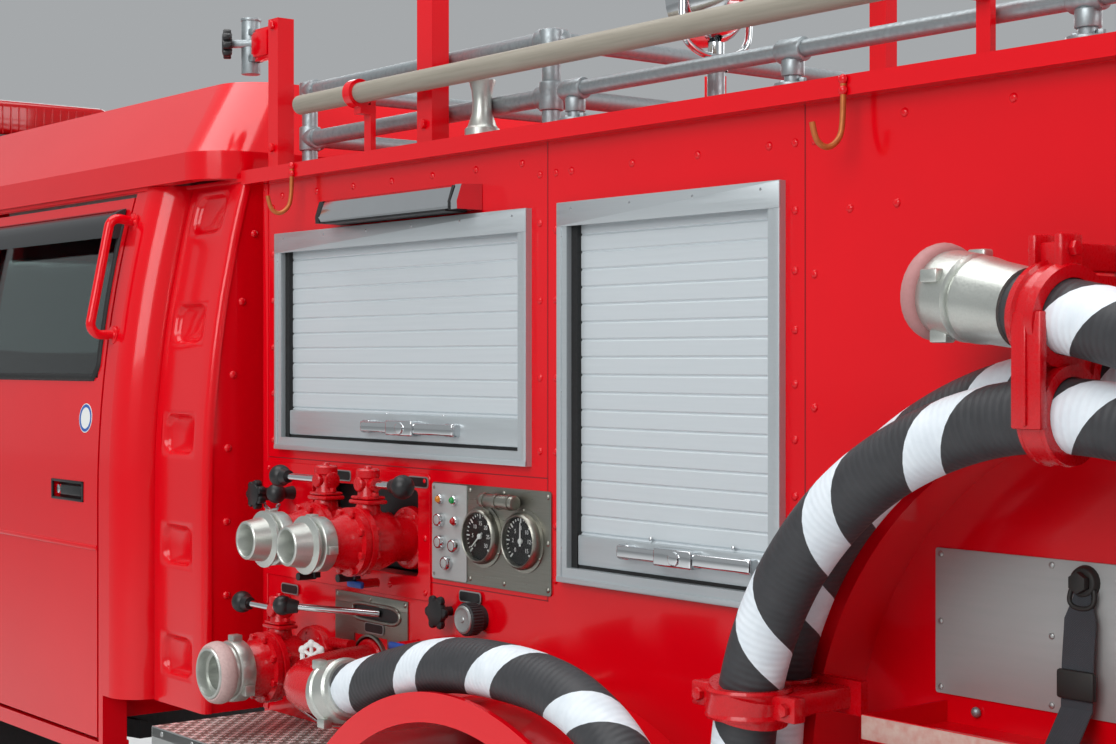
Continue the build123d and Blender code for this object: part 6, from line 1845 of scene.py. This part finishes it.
class PUMPER_OT_body_sheets(Making, bpy.types.Operator):
    """Bolts, joints and corner strips of the body"""
    bl_idname, bl_label = "pumper.body_sheets", "Body sheets"
    makers = (body_sheets,)


class PUMPER_OT_shutter_trim(Making, bpy.types.Operator):
    """Screws, brush strips, bars and handles of the roller shutters"""
    bl_idname, bl_label = "pumper.shutter_trim", "Shutter trim"
    makers = (shutter_trim,)


class PUMPER_OT_flood_light(Making, bpy.types.Operator):
    """Chrome flood lights over the front shutters"""
    bl_idname, bl_label = "pumper.flood_light", "Flood lights"
    makers = (flood_light,)


class PUMPER_OT_lip_hooks(Making, bpy.types.Operator):
    """Wire hooks on the roof lip"""
    bl_idname, bl_label = "pumper.lip_hooks", "Lip hooks"
    makers = (lip_hooks,)


class PUMPER_OT_niche_gear(Making, bpy.types.Operator):
    """Plate, strap and bolts in the hose niches"""
    bl_idname, bl_label = "pumper.niche_gear", "Niche gear"
    makers = (niche_gear,)


class PUMPER_OT_clamp_straps(Making, bpy.types.Operator):
    """Cast straps round the hoses"""
    bl_idname, bl_label = "pumper.clamp_straps", "Hose clamps"
    makers = (clamp_straps,)


class PUMPER_OT_fender_trim(Making, bpy.types.Operator):
    """Beads and bolts of the rear fenders"""
    bl_idname, bl_label = "pumper.fender_trim", "Fender trim"
    makers = (fender_trim, deck_tread)


class PUMPER_OT_roof_gear(Making, bpy.types.Operator):
    """Pipe fittings, knob clamp, cone and searchlight"""
    bl_idname, bl_label = "pumper.roof_gear", "Roof gear"
    makers = (pipe_fittings, roof_gear)


class PUMPER_OT_door_trim(Making, bpy.types.Operator):
    """Seals, visors, handles and stickers of the doors"""
    bl_idname, bl_label = "pumper.door_trim", "Door trim"
    makers = (door_trim,)


class PUMPER_OT_cab_trim(Making, bpy.types.Operator):
    """Corner panels, roof sill, handle feet and wipers"""
    bl_idname, bl_label = "pumper.cab_trim", "Cab trim"
    makers = (cab_trim,)


class PUMPER_OT_front_end(Making, bpy.types.Operator):
    """Headlamps, grille bars and fog lamps"""
    bl_idname, bl_label = "pumper.front_end", "Front end"
    makers = (front_end,)


class PUMPER_OT_light_bar(Making, bpy.types.Operator):
    """Roof light bar"""
    bl_idname, bl_label = "pumper.light_bar", "Light bar"
    makers = (light_bar_parts,)


class PUMPER_OT_mirror_heads(Making, bpy.types.Operator):
    """Mirror heads and arms"""
    bl_idname, bl_label = "pumper.mirror_heads", "Mirrors"
    makers = (mirror_heads,)


class PUMPER_OT_rear_end(Making, bpy.types.Operator):
    """Rear lamps, step and grips"""
    bl_idname, bl_label = "pumper.rear_end", "Rear end"
    makers = (rear_end,)


class PUMPER_OT_wheel_trim(Making, bpy.types.Operator):
    """Lug nuts, hub caps and rim edges"""
    bl_idname, bl_label = "pumper.wheel_trim", "Wheel trim"
    makers = (wheel_trim,)


class PUMPER_OT_crew_seats(Making, bpy.types.Operator):
    """Padded seats of both rows"""
    bl_idname, bl_label = "pumper.crew_seats", "Crew seats"
    makers = (crew_seats,)


class PUMPER_OT_finishes(Making, bpy.types.Operator):
    """Finishes of the CAD nodes that show"""
    bl_idname, bl_label = "pumper.finishes", "Finishes"
    makers = (dress_nodes,)


class PUMPER_OT_stage(Making, bpy.types.Operator):
    """Camera, lights and floor"""
    bl_idname, bl_label = "pumper.stage", "Stage"
    makers = (make_camera, make_lights, make_floor)


class PUMPER_PT_parts(bpy.types.Panel):
    """Lists the pumper's groups of pieces in the sidebar"""
    bl_idname = "PUMPER_PT_parts"
    bl_label = "Crew-cab fire pumper"
    bl_space_type = "VIEW_3D"
    bl_region_type = "UI"
    bl_category = "Pumper"

    def draw(self, context):
        for operator in OPERATORS:
            self.layout.operator(operator.bl_idname)
        for pointer, group in GROUPS.items():
            for name in group.__annotations__:
                self.layout.prop(getattr(context.scene, pointer), name)


OPERATORS = (
    PUMPER_OT_suction_hoses,
    PUMPER_OT_pump_fittings,
    PUMPER_OT_pump_panel,
    PUMPER_OT_body_sheets,
    PUMPER_OT_shutter_trim,
    PUMPER_OT_flood_light,
    PUMPER_OT_lip_hooks,
    PUMPER_OT_niche_gear,
    PUMPER_OT_clamp_straps,
    PUMPER_OT_fender_trim,
    PUMPER_OT_roof_gear,
    PUMPER_OT_door_trim,
    PUMPER_OT_cab_trim,
    PUMPER_OT_front_end,
    PUMPER_OT_light_bar,
    PUMPER_OT_mirror_heads,
    PUMPER_OT_rear_end,
    PUMPER_OT_wheel_trim,
    PUMPER_OT_crew_seats,
    PUMPER_OT_finishes,
    PUMPER_OT_stage,
)


def register():
    """Register the settings, the operators and the panel."""
    for item in (*GROUPS.values(), *OPERATORS, PUMPER_PT_parts):
        bpy.utils.register_class(item)
    for pointer, group in GROUPS.items():
        setattr(bpy.types.Scene, pointer, bpy.props.PointerProperty(type=group))


def unregister():
    """Remove the panel, the operators and the settings."""
    for pointer in GROUPS:
        delattr(bpy.types.Scene, pointer)
    for item in (PUMPER_PT_parts, *reversed(OPERATORS), *GROUPS.values()):
        bpy.utils.unregister_class(item)


def main():
    """Build every group and the stage, and note the size before and after."""
    register()
    for operator in OPERATORS:
        group, name = operator.bl_idname.split(".")
        getattr(getattr(bpy.ops, group), name)()
    with open("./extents.json", "w") as note:
        json.dump({"cad": CAD_BOX, "shown": [list(corner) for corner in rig.bounds()]}, note)


if __name__ == "__main__":
    main()
